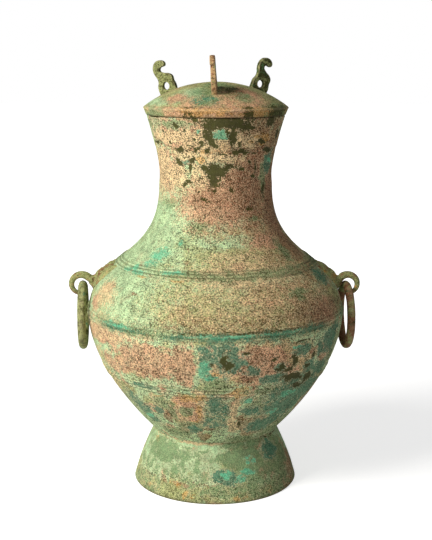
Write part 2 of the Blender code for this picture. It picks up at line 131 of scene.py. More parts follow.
class VesselSizes(bpy.types.PropertyGroup):
    """Sizes of the vessel's outline, wall and bands."""
    foot_height: length("Foot height", "Height of the crease above the foot", 0.0576)
    belly_height: length("Belly height", "Height of the widest place", 0.1817)
    neck_height: length("Neck height", "Height of the narrowest place", 0.3178)
    mouth_height: length("Mouth height", "Height of the lip", 0.390)
    floor_height: length("Floor height", "Height of the floor inside", 0.0500)
    foot_radius: length("Foot radius", "Radius on the ground", 0.0875)
    waist_radius: length("Waist radius", "Radius at the crease", 0.0650)
    belly_radius: length("Belly radius", "Radius of the widest place", 0.1344)
    neck_radius: length("Neck radius", "Radius of the narrowest place", 0.0588)
    mouth_radius: length("Mouth radius", "Radius at the lip", 0.0710)
    body_wall: length("Body wall", "Thickness of the body", 0.0030)
    lip_wall: length("Lip wall", "Thickness of the lip", 0.0050)
    foot_wall: length("Foot wall", "Thickness of the foot", 0.0040)
    floor_wall: length("Floor wall", "Thickness of the floor", 0.0035)
    bowl_angle: degrees("Bowl angle", "Rise of the bowl above the foot", 45.3)
    mouth_flare: degrees("Mouth flare", "Flare of the mouth from upright", 17.1)
    bowl_rise: share("Bowl rise", "Pull of the bowl's lower end", 0.645)
    belly_under: share("Belly under", "Pull below the belly", 0.167)
    belly_over: share("Belly over", "Pull above the belly", 0.486)
    neck_under: share("Neck under", "Pull below the neck", 0.600)
    neck_over: share("Neck over", "Pull above the neck", 0.111)
    mouth_under: share("Mouth under", "Pull below the mouth", 0.804)
    foot_bulge: length("Foot bulge", "Swell of the foot's side", 0.0020)
    lip_round: length("Lip rounding", "Rounding of the lip", 0.0012)
    foot_edge: length("Foot edge", "Chamfer of the foot's lower edge", 0.0008)
    collar_depth: length("Collar depth", "Height of the collar below the lip", 0.0310)
    collar_relief: length("Collar relief", "How far the collar stands proud", 0.0005)
    collar_step: length("Collar step", "Height of the step under the collar", 0.0012)
    lower_band: length("Lower band", "Height of the lowest band", 0.1282)
    middle_band: length("Middle band", "Height of the middle band", 0.1883)
    upper_band: length("Upper band", "Height of the highest band", 0.2401)
    band_width: length("Band width", "Width of a band", 0.0105)
    band_relief: length("Band relief", "How far a band stands proud", 0.0011)
    row: length("Row", "Spacing of rows down the outside", 0.0017)
    band_row: length("Band row", "Spacing of rows across a band", 0.0006)
    inside_row: length("Inside row", "Spacing of rows down the inside", 0.0150)
    columns: count("Columns", "Columns round the vessel", 240)


class LidSizes(bpy.types.PropertyGroup):
    """Sizes of the lid and its finials."""
    rim_height: length("Rim height", "Height of the slanting rim", 0.0077)
    rim_flare: length("Rim flare", "How far the rim widens upwards", 0.0031)
    overhang: length("Overhang", "How far the rim's foot passes the lip", 0.0008)
    dome_rise: length("Dome rise", "Rise of the dome above its rim", 0.0253)
    wall: length("Wall", "Thickness of the dome", 0.0032)
    flange_wall: length("Flange wall", "Thickness of the flange", 0.0030)
    flange_depth: length("Flange depth", "Reach of the flange into the mouth", 0.0120)
    flange_clearance: length("Flange clearance", "Gap round the flange", 0.0008)
    gap: length("Gap", "Gap between the lid and the lip", 0.0003)
    row: length("Row", "Spacing of rows", 0.0014)
    columns: count("Columns", "Columns round the lid", 220)
    finial_height: length("Finial height", "Height of a finial", 0.0365)
    finial_thickness: length("Finial thickness", "Thickness of a finial's plate", 0.0053)
    finial_hole: length("Finial hole", "Radius of a finial's eye", 0.0040)
    finial_round: length("Finial rounding", "Rounding of a finial's edges", 0.0008)
    finial_grain: length("Finial fineness", "Spacing of a finial's mesh", 0.00055)


class HandleSizes(bpy.types.PropertyGroup):
    """Sizes of the mask handles and their rings."""
    mask_height: length("Mask height", "Height of a mask's middle", 0.2238)
    mask_width: length("Mask width", "Width across the horns", 0.0500)
    mask_length: length("Mask length", "Length down the shoulder", 0.0385)
    mask_edge: length("Mask edge", "Thickness of a mask's rim", 0.0012)
    mask_swell: length("Mask swell", "Swell of a mask's face", 0.0024)
    mask_grain: length("Mask fineness", "Spacing of a mask's mesh", 0.0004)
    nose_bar: length("Nose bar", "Radius of the bar inside the nose", 0.0028)
    nose_reach: length("Nose reach", "How far up the nose the bar begins", 0.0060)
    root_drop: length("Root drop", "How far down the mask the hook leaves it", 0.01106)
    root_bar: length("Root bar", "Radius of the hook at its root", 0.0050)
    hook_bar: length("Hook bar", "Radius of the hook's bar", 0.0042)
    hook_tip: length("Hook tip", "Radius of the hook at its tip", 0.0022)
    hook_eye: length("Hook eye", "Inner radius of the hook", 0.0069)
    hook_reach: length("Hook reach", "Distance of the eye from the body", 0.0147)
    hook_fall: length("Hook fall", "Drop of the eye below the root", 0.0025)
    ring_radius: length("Ring radius", "Radius of a ring to the middle of its bar", 0.0320)
    ring_bar: length("Ring bar", "Radius of a ring's bar", 0.0044)
    ring_segments: count("Ring segments", "Segments round a ring", 160)
    ring_sides: count("Ring sides", "Sides of a ring's bar", 28)


class CrustColours(bpy.types.PropertyGroup):
    """Colours of the mineral crust."""
    mint: colour("Mint", "Pale green crust", 170, 200, 152)
    olive: colour("Olive", "Yellow-green crust", 158, 164, 106)
    cream: colour("Cream", "Thick pale crust", 214, 186, 140)
    tan: colour("Tan", "Sandy crust", 194, 156, 110)
    pink: colour("Pink", "Pink earthy crust", 200, 146, 114)
    brown: colour("Brown", "Red-brown cuprite", 138, 90, 62)
    ochre: colour("Ochre", "Orange earth", 204, 150, 74)
    green: colour("Green", "Green crust", 92, 132, 84)
    teal: colour("Teal", "Blue-green crust", 34, 118, 92)
    turquoise: colour("Turquoise", "Bright blue-green bloom", 96, 188, 146)
    dark: colour("Dark", "Bare bronze where the crust is lost", 60, 62, 14)
    # Grain also gives the painted highlight on ridges; pit also gives the painted shade in hollows and inside
    grain: colour("Grain", "Pale grains on the crust", 236, 220, 176)
    pit_and_shade: colour("Pit", "Pits in the crust", 82, 74, 46)


# Ribs across a band, as shares of half its width and of its relief
BAND_RIBS = ((-1.0, 0.0), (-0.84, 1.0), (-0.45, 0.2), (0.0, 0.9), (0.45, 0.2), (0.84, 1.0), (1.0, 0.0))

# Patches of the vessel's crust, by colour: degrees round from the front, height in millimetres,
# half width in degrees, half height in millimetres and, where a patch is thin, its greatest strength
VESSEL_PATCHES = {
    "tan": (
        (34, 222, 30, 34, 0.75), (10, 205, 26, 18, 0.6), (4, 372, 60, 22, 0.7), (40, 262, 34, 26, 0.7),
        (20, 322, 40, 26, 0.7), (16, 226, 24, 22, 0.6), (22, 160, 30, 22, 0.6), (-16, 100, 12, 22, 0.6),
        (60, 300, 30, 90, 0.6),
    ),
    "olive": (
        (6, 215, 44, 24, 0.6), (-34, 9, 44, 11), (40, 5, 40, 7), (10, 256, 36, 14), (-62, 118, 16, 10, 0.6),
        (44, 7, 14, 8), (0, 137, 7, 9, 0.7), (70, 205, 10, 14), (-20, 270, 12, 10, 0.6),
        (20, 12, 14, 7, 0.5),
    ),
    "mint": (
        # (-58, 86, 22, 18, 0.9) is partly mint crust and partly painted light thrown up from the floor; (-40,
        # 182, 26, 12, 0.5) is partly mint crust and partly painted light from the left
        (-64, 180, 16, 16, 0.6), (-58, 86, 22, 18, 0.9), (2, 60, 40, 7), (-40, 182, 26, 12, 0.5),
        (14, 235, 30, 7, 0.5), (-60, 272, 36, 38), (-58, 225, 26, 24), (-44, 205, 14, 14),
        (4, 268, 24, 6, 0.7), (-58, 164, 6, 7), (17, 115, 3, 5), (-44, 41, 36, 15), (-12, 44, 18, 12),
        (5, 72, 8, 7), (15, 61, 10, 3), (-44, 172, 2.5, 8), (-75, 40, 16, 18), (-35, 128, 8, 4),
        (-42, 296, 14, 10), (-52, 100, 14, 10, 0.6),
    ),
    "cream": (
        (14, 239, 30, 9, 0.75), (16, 252, 20, 6, 0.55), (14, 218, 30, 24, 0.4), (-48, 158, 18, 16, 0.4),
        # (-56, 182, 22, 12, 0.5) is partly cream crust and partly painted light from the left
        (-56, 182, 22, 12, 0.5), (-68, 130, 10, 26, 0.5), (-48, 46, 22, 12, 0.25), (-16, 370, 26, 10),
        (-50, 371, 22, 8), (30, 368, 13, 8), (5, 350, 15, 4.5), (-28, 350, 14, 9), (-38, 334, 14, 14),
        (-14, 334, 8, 14, 0.6), (-30, 186, 4, 5), (-7.5, 104, 2, 24), (11, 100, 2.2, 26), (-62, 213, 8, 10),
        (-3, 57, 66, 1.2), (-32, 114, 3, 8), (-8, 128, 3, 6), (12, 83, 4, 8), (-66, 340, 16, 24, 0.6),
        (2, 124, 12, 1.4), (-20, 100, 3, 10), (-37, 104, 7, 2), (24, 350, 8, 3, 0.5), (6, 177, 5, 3),
        (-2, 365, 2, 4),
    ),
    "pink": (
        (0, 306, 38, 26), (30, 318, 24, 36), (-60, 334, 24, 24), (-40, 370, 30, 12, 0.62),
        (-14, 376, 12, 8, 0.7), (-68, 203, 6, 8), (-60, 174, 20, 9, 0.7), (-32, 158, 16, 20),
        (-14, 158, 6, 22), (14, 247, 6, 4), (42, 266, 18, 8), (-37, 101, 7, 5), (47, 163, 2, 4),
        (21, 158, 13, 21), (-1, 178, 3.5, 3.5), (56, 200, 10, 14, 0.7), (-16, 104, 10, 16), (59, 160, 6, 16),
        (36, 145, 5, 5, 0.7), (30, 222, 16, 8, 0.5), (-63, 220, 5, 5), (-50, 148, 12, 10, 0.6),
        (40, 352, 12, 10), (66, 300, 16, 34), (-26, 372, 8, 5, 0.7),
    ),
    "brown": (
        (34, 316, 20, 32, 0.62), (68, 296, 16, 32, 0.8), (20, 336, 12, 9, 0.6), (51, 201, 7, 11),
        (-10, 68, 5, 7), (16, 93, 5, 9), (21, 82, 7, 8), (27, 74, 8, 7), (-20, 78, 5, 5), (-30, 92, 3, 8),
        (32, 120, 4, 3), (-4, 82, 3, 5), (50, 96, 3, 6), (34, 38, 3.5, 7), (49, 24, 8, 4.5),
        (-20, 194, 1.6, 2.4), (-40, 220, 1.8, 1.4), (-21, 261, 1.4, 1.6), (4, 311, 32, 8, 0.55),
        (72, 332, 8, 7), (70, 258, 14, 16), (55, 56, 16, 1.2), (46, 206, 13, 15, 0.85),
        # Of the brown patches, (68, 104, 9, 24, 0.7) is painted shade on the lower right edge, and those
        # centred from 380 mm up to the lip are partly stains and partly painted shade under the lid's rim
        (68, 104, 9, 24, 0.7), (36, 362, 24, 26, 0.62), (27, 92, 6, 9, 0.7), (-38, 381, 24, 9, 0.5),
        (30, 380, 18, 9, 0.6), (-30, 17.5, 34, 1.2, 0.6), (16, 5, 80, 7, 0.3), (-32, 8, 46, 9, 0.34),
        (6, 285, 22, 12, 0.45), (14, 160, 5, 20, 0.5), (-40, 387, 34, 6, 0.56), (40, 384, 26, 8, 0.6),
        (56, 350, 30, 40, 0.55), (62, 20, 26, 24, 0.6), (30, 200, 44, 10, 0.5), (58, 358, 12, 4),
        (-30, 145, 14, 4, 0.5), (38, 240, 30, 14, 0.5), (-38, 358, 14, 1.5, 0.6),
    ),
    "ochre": (
        (47, 369, 7, 6), (37, 372, 4, 2), (-14, 348, 6.5, 3.6), (-14, 120, 5, 4), (-9.5, 103, 1.6, 12),
        (-62, 50, 4, 4), (-28, 15, 5, 4, 0.5), (-18, 7, 5, 4, 0.5), (-50, 8, 6, 3, 0.5), (12, 128, 4, 7),
        (18, 6, 5, 4), (41, 7, 6, 3), (0, 148, 2.6, 3), (-17, 96, 4, 2), (-24, 112, 5, 3), (-6, 122, 3, 3),
        (9, 128, 6, 2), (-30, 118, 3, 2), (-12, 88, 3, 2), (33, 366, 3, 2), (-44, 235, 4, 1.2),
        (-20, 236, 4, 1.2), (-10, 356, 5, 2), (-55, 12, 10, 5, 0.35), (-8, 15, 8, 5, 0.35),
    ),
    "green": (
        (42, 222, 6, 4), (-29, 110, 7, 7), (-25, 97, 2, 8), (-16, 104, 4.5, 7), (-16, 84, 9, 6),
        (11, 45, 11, 7), (-27, 266, 4, 4), (-68, 364, 14, 1.8), (-15, 283, 7, 4), (16, 240, 54, 3.6, 0.75),
        (-30, 45, 6, 6, 0.6), (-50, 301, 12, 4, 0.7), (1, 102, 6, 23, 0.62), (1, 137, 6, 9, 0.75),
        (30, 55, 26, 4, 0.6), (-14, 34, 30, 15, 0.5), (-50, 27, 30, 7, 0.5), (-50, 44, 20, 12, 0.65),
        (36, 22, 26, 13, 0.6), (54, 16, 14, 14, 0.6), (30, 14, 20, 12, 0.5), (-60, 12, 16, 12, 0.5),
        (26, 40, 24, 17, 0.8), (24, 13, 30, 9, 0.6), (30, 11, 5, 11), (56, 256, 5, 10), (-18, 132, 9, 1.2),
        (30, 129, 14, 4, 0.8), (62, 74, 18, 14), (-30, 72, 12, 8, 0.6), (-36, 188, 20, 4.6),
        (44, 74, 14, 14, 0.8), (54, 330, 4, 18), (66, 160, 6, 20), (-35, 382, 14, 5, 0.7),
        (-66, 382, 14, 8, 0.55), (22, 62, 14, 4, 0.8), (24, 106, 8, 14, 0.8), (52, 10, 10, 10, 0.7),
        (60, 36, 16, 18, 0.8), (-62, 95, 6, 12, 0.55), (36, 290, 6, 3, 0.6),
    ),
    "teal": (
        (63, 345, 9, 12), (60, 168, 7, 12, 0.8), (58, 140, 8, 10, 0.7), (-46, 86, 7, 7),
        (-52, 105, 4, 12, 0.6), (41, 168, 5.5, 6.5), (47, 147, 5, 8), (39, 104, 12, 13, 0.8),
        (3.6, 163, 2, 12), (-4, 165, 3, 14, 0.8), (53, 44, 9, 9), (9, 25, 10, 7), (-46, 187, 12, 3.4, 0.75),
        (4, 187, 15, 4.8), (25, 186.5, 13, 4.8), (46, 187, 9, 4.6), (52, 163, 2, 12),
        (-16, 186.5, 5, 3.5, 0.8), (64, 180, 6, 5), (1, 100, 6, 20, 0.5), (30, 153, 3, 4, 0.8),
        (-36, 128, 7, 3, 0.6), (44, 137, 8, 4), (-2, 90, 6, 9, 0.55), (24, 140, 4, 5, 0.7),
        (34, 82, 12, 10, 0.75), (44, 112, 18, 26, 0.65), (5, 166, 7, 16, 0.6), (-48, 96, 8, 8, 0.6),
        (0, 112, 4, 12, 0.7), (-34, 100, 4, 6, 0.8), (-14, 78, 5, 5, 0.8), (16, 152, 3, 6, 0.7),
        (30, 142, 4, 5, 0.8), (20, 104, 6, 5, 0.7), (70, 229, 8, 6, 0.8), (58, 118, 8, 12, 0.7),
        (0, 172, 6, 12, 0.55), (-30, 346, 4, 2, 0.7),
    ),
    "turquoise": (
        (4, 374.5, 9, 5.5), (-15, 378, 2.4, 2.2), (-41, 256, 7, 5, 0.7), (-5, 152, 2.4, 4.5),
        (26, 29, 6, 2.6), (64, 346, 6, 3, 0.8), (-52, 240, 8, 2.0), (-25, 241, 7, 1.6),
        (-46, 189, 8, 1.8, 0.7), (-44, 247, 5, 3, 0.6), (37, 172, 2.5, 1.6), (-47, 88, 4, 3, 0.7),
        (-27, 266, 2, 2, 0.7), (17, 117, 2, 3, 0.8), (8, 27, 4, 3, 0.6), (3, 188.5, 12, 1.6, 0.7),
        (-5, 158, 3, 5, 0.7), (-3, 147, 4, 3, 0.7), (30, 40, 5, 4, 0.5), (20, 22, 5, 4, 0.6),
        (30, 188.5, 8, 1.2, 0.5), (40, 118, 6, 4, 0.6), (34, 98, 5, 5, 0.5),
    ),
    "dark": (
        (6, 160, 1.2, 6), (-1, 160, 1, 3), (34, 148, 3, 3), (28, 150, 2, 2), (44, 128, 4, 2.4),
        (50, 134, 3, 5), (48, 160, 1.6, 5), (-27, 98, 1, 5), (16, 86, 1.4, 5), (10, 385, 21, 7),
        (-5, 376, 6, 10), (2, 379, 9, 6), (-1, 366, 3, 5), (15, 371, 4, 8), (24, 382, 8, 5), (33, 380, 4, 2),
        (52, 386, 6, 5), (45, 365.5, 3.4, 2.6), (-68, 364, 13, 1.1), (-33.5, 358.5, 3.8, 3),
        (-17.5, 357.5, 2.8, 3), (-7, 358.5, 3, 3), (5, 356.4, 10, 0.9), (24, 358, 8, 3.2), (38, 356, 8, 0.8),
        (58, 357.5, 9, 2.2), (-45, 360.5, 8, 0.8), (-24, 361, 6, 0.7), (-1, 336.5, 9, 8), (-3, 329, 5.5, 7),
        (12, 341, 7, 3), (-5, 328.5, 3.6, 4), (-11, 341, 2, 3), (-35, 346, 3.4, 3.4), (-25, 340, 2, 5),
        (-29, 325, 4.5, 2), (-33, 322, 3, 1.2), (-35, 381, 3, 2), (-28, 376, 2.6, 1.6), (-16, 316, 3, 1.3),
        (-9, 308, 3, 1.4), (-60, 389, 12, 0.9), (36, 157, 1.3, 8), (39, 176.5, 5, 1.2), (30, 154, 1.6, 3),
        (39, 138, 7, 4), (4, 163, 1.2, 9), (-12, 191.5, 6, 0.6), (8, 191.8, 9, 0.7), (26, 191, 8, 0.7),
        (60, 56, 14, 0.9), (-38, 208, 0.8, 2), (16, 320, 2, 1.5), (24, 338, 3, 2), (40, 332, 3, 2),
        (-20, 368, 2, 1.4), (-14, 364, 2, 2), (20, 364, 2, 2), (-22, 348, 2, 3), (34, 346, 2, 3),
        (44, 340, 2, 5), (-46, 366, 2, 2), (-52, 374, 2, 3), (30, 372, 2, 1.6), (34, 300, 2, 2),
        (-17, 389, 4, 1.4), (70, 372, 3, 6), (26, 163, 2, 2), (14, 172, 2, 2), (54, 318, 2, 6),
        (46, 147, 1.5, 3), (-3, 320, 2, 2),
    ),
    # Not a colour: crust that is kept inside the dark patches
    "bare": (
        (5.5, 365, 6.2, 5.6), (4, 374.5, 7.5, 4.6),
    ),
}

# Patches of the lid's crust, with the distance from the lid's axis in place of the height
LID_PATCHES = {
    "olive": (
        (0, 20, 180, 30), (-70, 60, 34, 20), (80, 60, 30, 20), (20, 58, 24, 10, 0.6),
    ),
    "mint": (
        (-70, 66, 26, 6), (-30, 50, 16, 14), (150, 50, 26, 14),
    ),
    "pink": (
        (10, 66, 42, 12, 0.65), (0, 74, 60, 3.2, 0.8), (-40, 60, 12, 8), (40, 50, 16, 12), (200, 60, 34, 14),
    ),
    "ochre": (
        (45, 74, 26, 2.6), (-10, 74, 20, 2),
    ),
    "brown": (
        # (22, 44, 18, 10) is painted shade on the dome beside the front finial
        (52, 73, 18, 2.4), (22, 44, 18, 10), (5, 36, 16, 5),
    ),
    "green": (
        (-8, 60, 12, 8), (-14, 46, 14, 12), (28, 56, 8, 8), (5, 24, 30, 14), (60, 72, 16, 3.6),
        (-60, 73, 12, 2), (120, 48, 20, 14), (240, 40, 24, 14),
    ),
    "turquoise": (
        (-5, 63, 3, 2, 0.2),
    ),
    "teal": (
        (-10, 60, 9, 7, 0.46),
    ),
    "dark": (
        # (18, 42, 9, 5) and (30, 38, 6, 4) are a painted shadow beside the front finial
        (26, 73.5, 3.4, 2.6), (54, 73.5, 8, 3), (-22, 72.4, 6, 1.0), (18, 42, 9, 5), (30, 38, 6, 4),
        (64, 74, 5, 2), (140, 73.4, 7, 2), (250, 73, 9, 2),
    ),
}

# Outer side of a finial from its foot to its curl and down again, as shares of its height
FINIAL_OUTLINE = (
    (0.305, 0.170), (0.290, 0.300), (0.298, 0.435), (0.210, 0.545), (0.070, 0.617),
    (-0.025, 0.715), (0.020, 0.782), (0.103, 0.785), (0.175, 0.785), (0.212, 0.858),
    (0.172, 0.940), (0.068, 0.998), (-0.065, 0.990), (-0.170, 0.903), (-0.220, 0.777),
    (-0.212, 0.640), (-0.172, 0.503), (-0.192, 0.400), (-0.248, 0.308), (-0.270, 0.143),
)
FINIAL_HOLE_PLACE = (0.010, 0.235)
# Half width of its foot, as a share, and in metres how far the foot sinks and its ends drop further
FINIAL_FOOT = 0.270
FINIAL_SINK = 0.0006
FINIAL_FALL = 0.0012
# Passes that soften its mesh
FINIAL_SOFTENING = 4
# Name, direction round the lid, distance from its axis, side of the curl, lean, tilt and tones of crust
FINIALS = (
    ("finial_front", -94.7, 0.0430, 1, 0.0, 3.5, ("brown", "tan", "olive")),
    # The right finial's dark middle tone is painted shade, for its face that lies in shade
    ("finial_right", 27.8, 0.0505, 1, -5.0, 0.0, ("olive", "dark", "green")),
    ("finial_left", 147.8, 0.0555, -1, -2.2, 0.0, ("dark", "olive", "dark")),
)

# Shape of a mask's outline, as shares
MASK_CHIN = 0.42
MASK_HORN_NOTCH = 0.13
MASK_HORN_WAVES = 2.4
MASK_HORN_SPREAD = 1.2
MASK_CHIN_ROUND = 0.3
# Share of a mask's length and width over which its relief fades in, what is left of it at the very
# edge, how far its back lies inside the shoulder in metres, and the passes that soften its mesh
MASK_FADE = 0.22
MASK_EDGE_RELIEF = 0.15
MASK_SINK = 0.0002
MASK_SOFTENING = 16
# Lumps of a mask's face: across, along, half width, half length, as shares of the mask's length,
# and height in metres; each is on both sides
MASK_LUMPS = (
    (0.00, 0.10, 0.300, 0.420, 0.0014),
    (0.00, -0.14, 0.110, 0.340, 0.0022),
    (0.00, 0.36, 0.200, 0.180, 0.0010),
    (0.21, 0.05, 0.085, 0.075, 0.0016),
    (0.22, 0.21, 0.170, 0.070, 0.0010),
    (0.42, 0.30, 0.100, 0.110, 0.0014),
    (0.20, -0.25, 0.120, 0.070, 0.0014),
    (0.00, -0.40, 0.150, 0.130, 0.0045),
)
# Lines of a mask's face, each an arc: middle across and along, radius, first and last angle in
# degrees, half width, as shares of the mask's length, and height in metres
MASK_LINES = (
    (0.21, 0.05, 0.082, 0, 360, 0.020, -0.0007),
    (0.21, 0.05, 0.010, 0, 360, 0.022, 0.0005),
    (0.23, 0.00, 0.200, 35, 150, 0.020, -0.0007),
    (0.23, 0.00, 0.255, 30, 150, 0.018, -0.0005),
    (0.42, 0.30, 0.075, -150, 130, 0.018, -0.0007),
    (0.42, 0.30, 0.028, 0, 260, 0.016, -0.0006),
    (0.00, 0.39, 0.110, 200, 340, 0.018, -0.0003),
    (0.00, 0.39, 0.060, 0, 360, 0.018, -0.0003),
    (0.20, -0.25, 0.070, -40, 200, 0.018, -0.0006),
    (0.20, -0.27, 0.115, 10, 100, 0.016, -0.0005),
    (0.06, -0.16, 0.060, 120, 330, 0.016, -0.0006),
)

# Angles of the hook's ends round its eye, in degrees, and its fineness
HOOK_START = 126.0
HOOK_END = -82.0
HOOK_POINTS = 40
# Steps of its rounded tip: reach past the end and thickness, as shares of the tip's radius
HOOK_TIP_STEPS = ((0.5, 0.85), (0.85, 0.5))
# Side, direction along X, how much lower its handle sits, and tones of its mask and of its ring
SIDES = (
    ("left", -1, 0.0, ("brown", "olive", "tan"), ("dark", "olive", "teal")),
    ("right", 1, 0.0025, ("brown", "olive", "ochre"), ("olive", "brown", "dark")),
)

# Broad patches on the side that isn't seen: how many, half width in degrees and half height in millimetres
HIDDEN_PATCHES = {
    "tan": (6, 14, 20), "mint": (9, 14, 22), "olive": (6, 16, 20), "pink": (8, 14, 18), "brown": (7, 8, 10),
    "cream": (5, 8, 10), "green": (10, 8, 10), "teal": (7, 8, 8), "turquoise": (5, 4, 3),
    "dark": (9, 3, 3), "ochre": (4, 4, 4),
}
# Degrees round from the front and levels in millimetres between which they lie, and the seed
HIDDEN_TURNS = (92, 268)
HIDDEN_LEVELS = (8, 384)
HIDDEN_SEED = 5

# How each colour of patch lies on the crust, from the lowest to the uppermost: ragged edge, speckled
# edge, softness, strength, fineness, and the pale rim where the crust is crisp
PATCH_LOOKS = {
    "tan": (0.8, 1.3, 0.26, 0.85, 110.0, 0.0),
    "olive": (0.8, 0.9, 0.26, 0.85, 110.0, 0.0),
    "mint": (0.8, 0.9, 0.26, 0.90, 110.0, 0.0),
    "pink": (0.8, 1.3, 0.22, 0.85, 120.0, 0.0),
    "brown": (0.9, 1.5, 0.18, 0.70, 150.0, 0.0),
    "cream": (1.0, 2.2, 0.16, 0.85, 180.0, 0.0),
    "ochre": (0.8, 1.2, 0.18, 0.65, 200.0, 0.0),
    "green": (1.1, 1.8, 0.20, 0.75, 150.0, 0.35),
    "teal": (1.1, 2.4, 0.18, 0.85, 150.0, 0.5),
    "turquoise": (0.9, 1.6, 0.18, 0.88, 200.0, 0.2),
    "dark": (1.3, 3.2, 0.12, 0.95, 230.0, 0.5),
}
# Values of a patch's field over which its rim fades in, the rim's colour, and a patch's darkest and
# lightest clouds
RIM_REACH = (0.36, 0.48)
RIM_COLOUR = (0.72, 0.61, 0.38, 1.0)
PATCH_SHADES = (0.62, 1.22)
# Fineness of the speckled edges and of the grain, how much lighter and darker its grains and pits are
# than the crust, and its height in metres
SPECKLE_SCALE = 640.0
GRAIN_SCALE = 1150.0
GRAIN_LIGHT = 2.2
PIT_DARK = 0.19
GRAIN_HEIGHT = 0.0008
# Crust's material: step between the patches' noise, how clean of grain teal and turquoise are, how much
# coarser crisp crust is, its roughness, how much smoother bare bronze is, its gloss, how high the crust
# stands over bare bronze as a share of the grain's height, and the strength of the bumps
NOISE_STEP = 3.7
TEAL_CLEAN = 0.6
CRISP_COARSE = 0.4
CRUST_ROUGH = 0.88
BARE_SMOOTH = 0.26
CRUST_GLOSS = 0.18
CRUST_STEP = 0.6
BUMP_STRENGTH = 0.8
# Tints over the crust: painted shade in hollows, a painted highlight on ridges and painted shade inside, with
# their strengths and colours
FIELD_TINTS = (("hollow", 0.75, "pit_and_shade"), ("painted_highlight", 0.45, "grain"), ("inside", 0.8, "pit_and_shade"))
# Unevenness of the turned castings, as height and size in metres and a seed, and in metres how deep lost
# crust lies and how high thick crust stands
VESSEL_WAVES = ((0.00016, 0.021, 1), (0.00009, 0.0045, 2))
LID_WAVES = ((0.00014, 0.018, 6), (0.00008, 0.004, 7))
VESSEL_LOSS = 0.00042
LID_LOSS = 0.00030
CREAM_HEIGHT = 0.00012
# Where the vessel's crust is crisp or smooth: levels in millimetres, or degrees round from the front,
# between which each change happens
CRISP_BELOW = (178, 186)
CRISP_ABOVE = (318, 330)
FOOT_TOP = (55, 60)
FOOT_CALM = (20, 28)
LEFT_SIDE = (-55, -20)
LEFT_LOW = (120, 150)
LEFT_HIGH = (300, 330)
# Strength of the painted shade in the grooves of each band, by the name of its height
BAND_GROOVE_SHADE = (("upper_band", 0.75), ("middle_band", 0.5), ("lower_band", 0.45))
# Vessel's floor: the flat share of its radius, and in metres the pull inwards and down at its edge
FLOOR_FLAT = 0.6
FLOOR_PULL = (0.012, 0.006)
# Half of a band with its margin, as a share of its width
BAND_MARGIN = 0.55
# How far a patch's outline wanders sideways and drifts up and down: height in millimetres, size in metres
# and first seed
WANDER = ((2.6, 0.013, 0), (2.2, 0.005, 20))
DRIFT = ((2.2, 0.013, 40), (1.8, 0.005, 60))
# Large odd numbers that make a random value of a cell's place, and the step between seeds
CELL_FACTORS = (73856093, 19349663, 83492791)
MIX_FACTOR = 1274126177
SEED_STEP = 17.31
# Rounding of the lid's rim in metres
LID_ROUND = 0.0006
# Lengths in metres: how far inside the outline a point still counts as outside, and the gaps that are
# closed at a turned casting's seam and between a mesh's points
SKIN_DEPTH = 0.0012
SEAM_GAP = 0.00001
POINT_GAP = 0.000002
# A ring's bar is a little thinner than its size, because its unevenness, in metres, stands proud of it
RING_THIN = 0.985
RING_UNEVEN = 0.0007


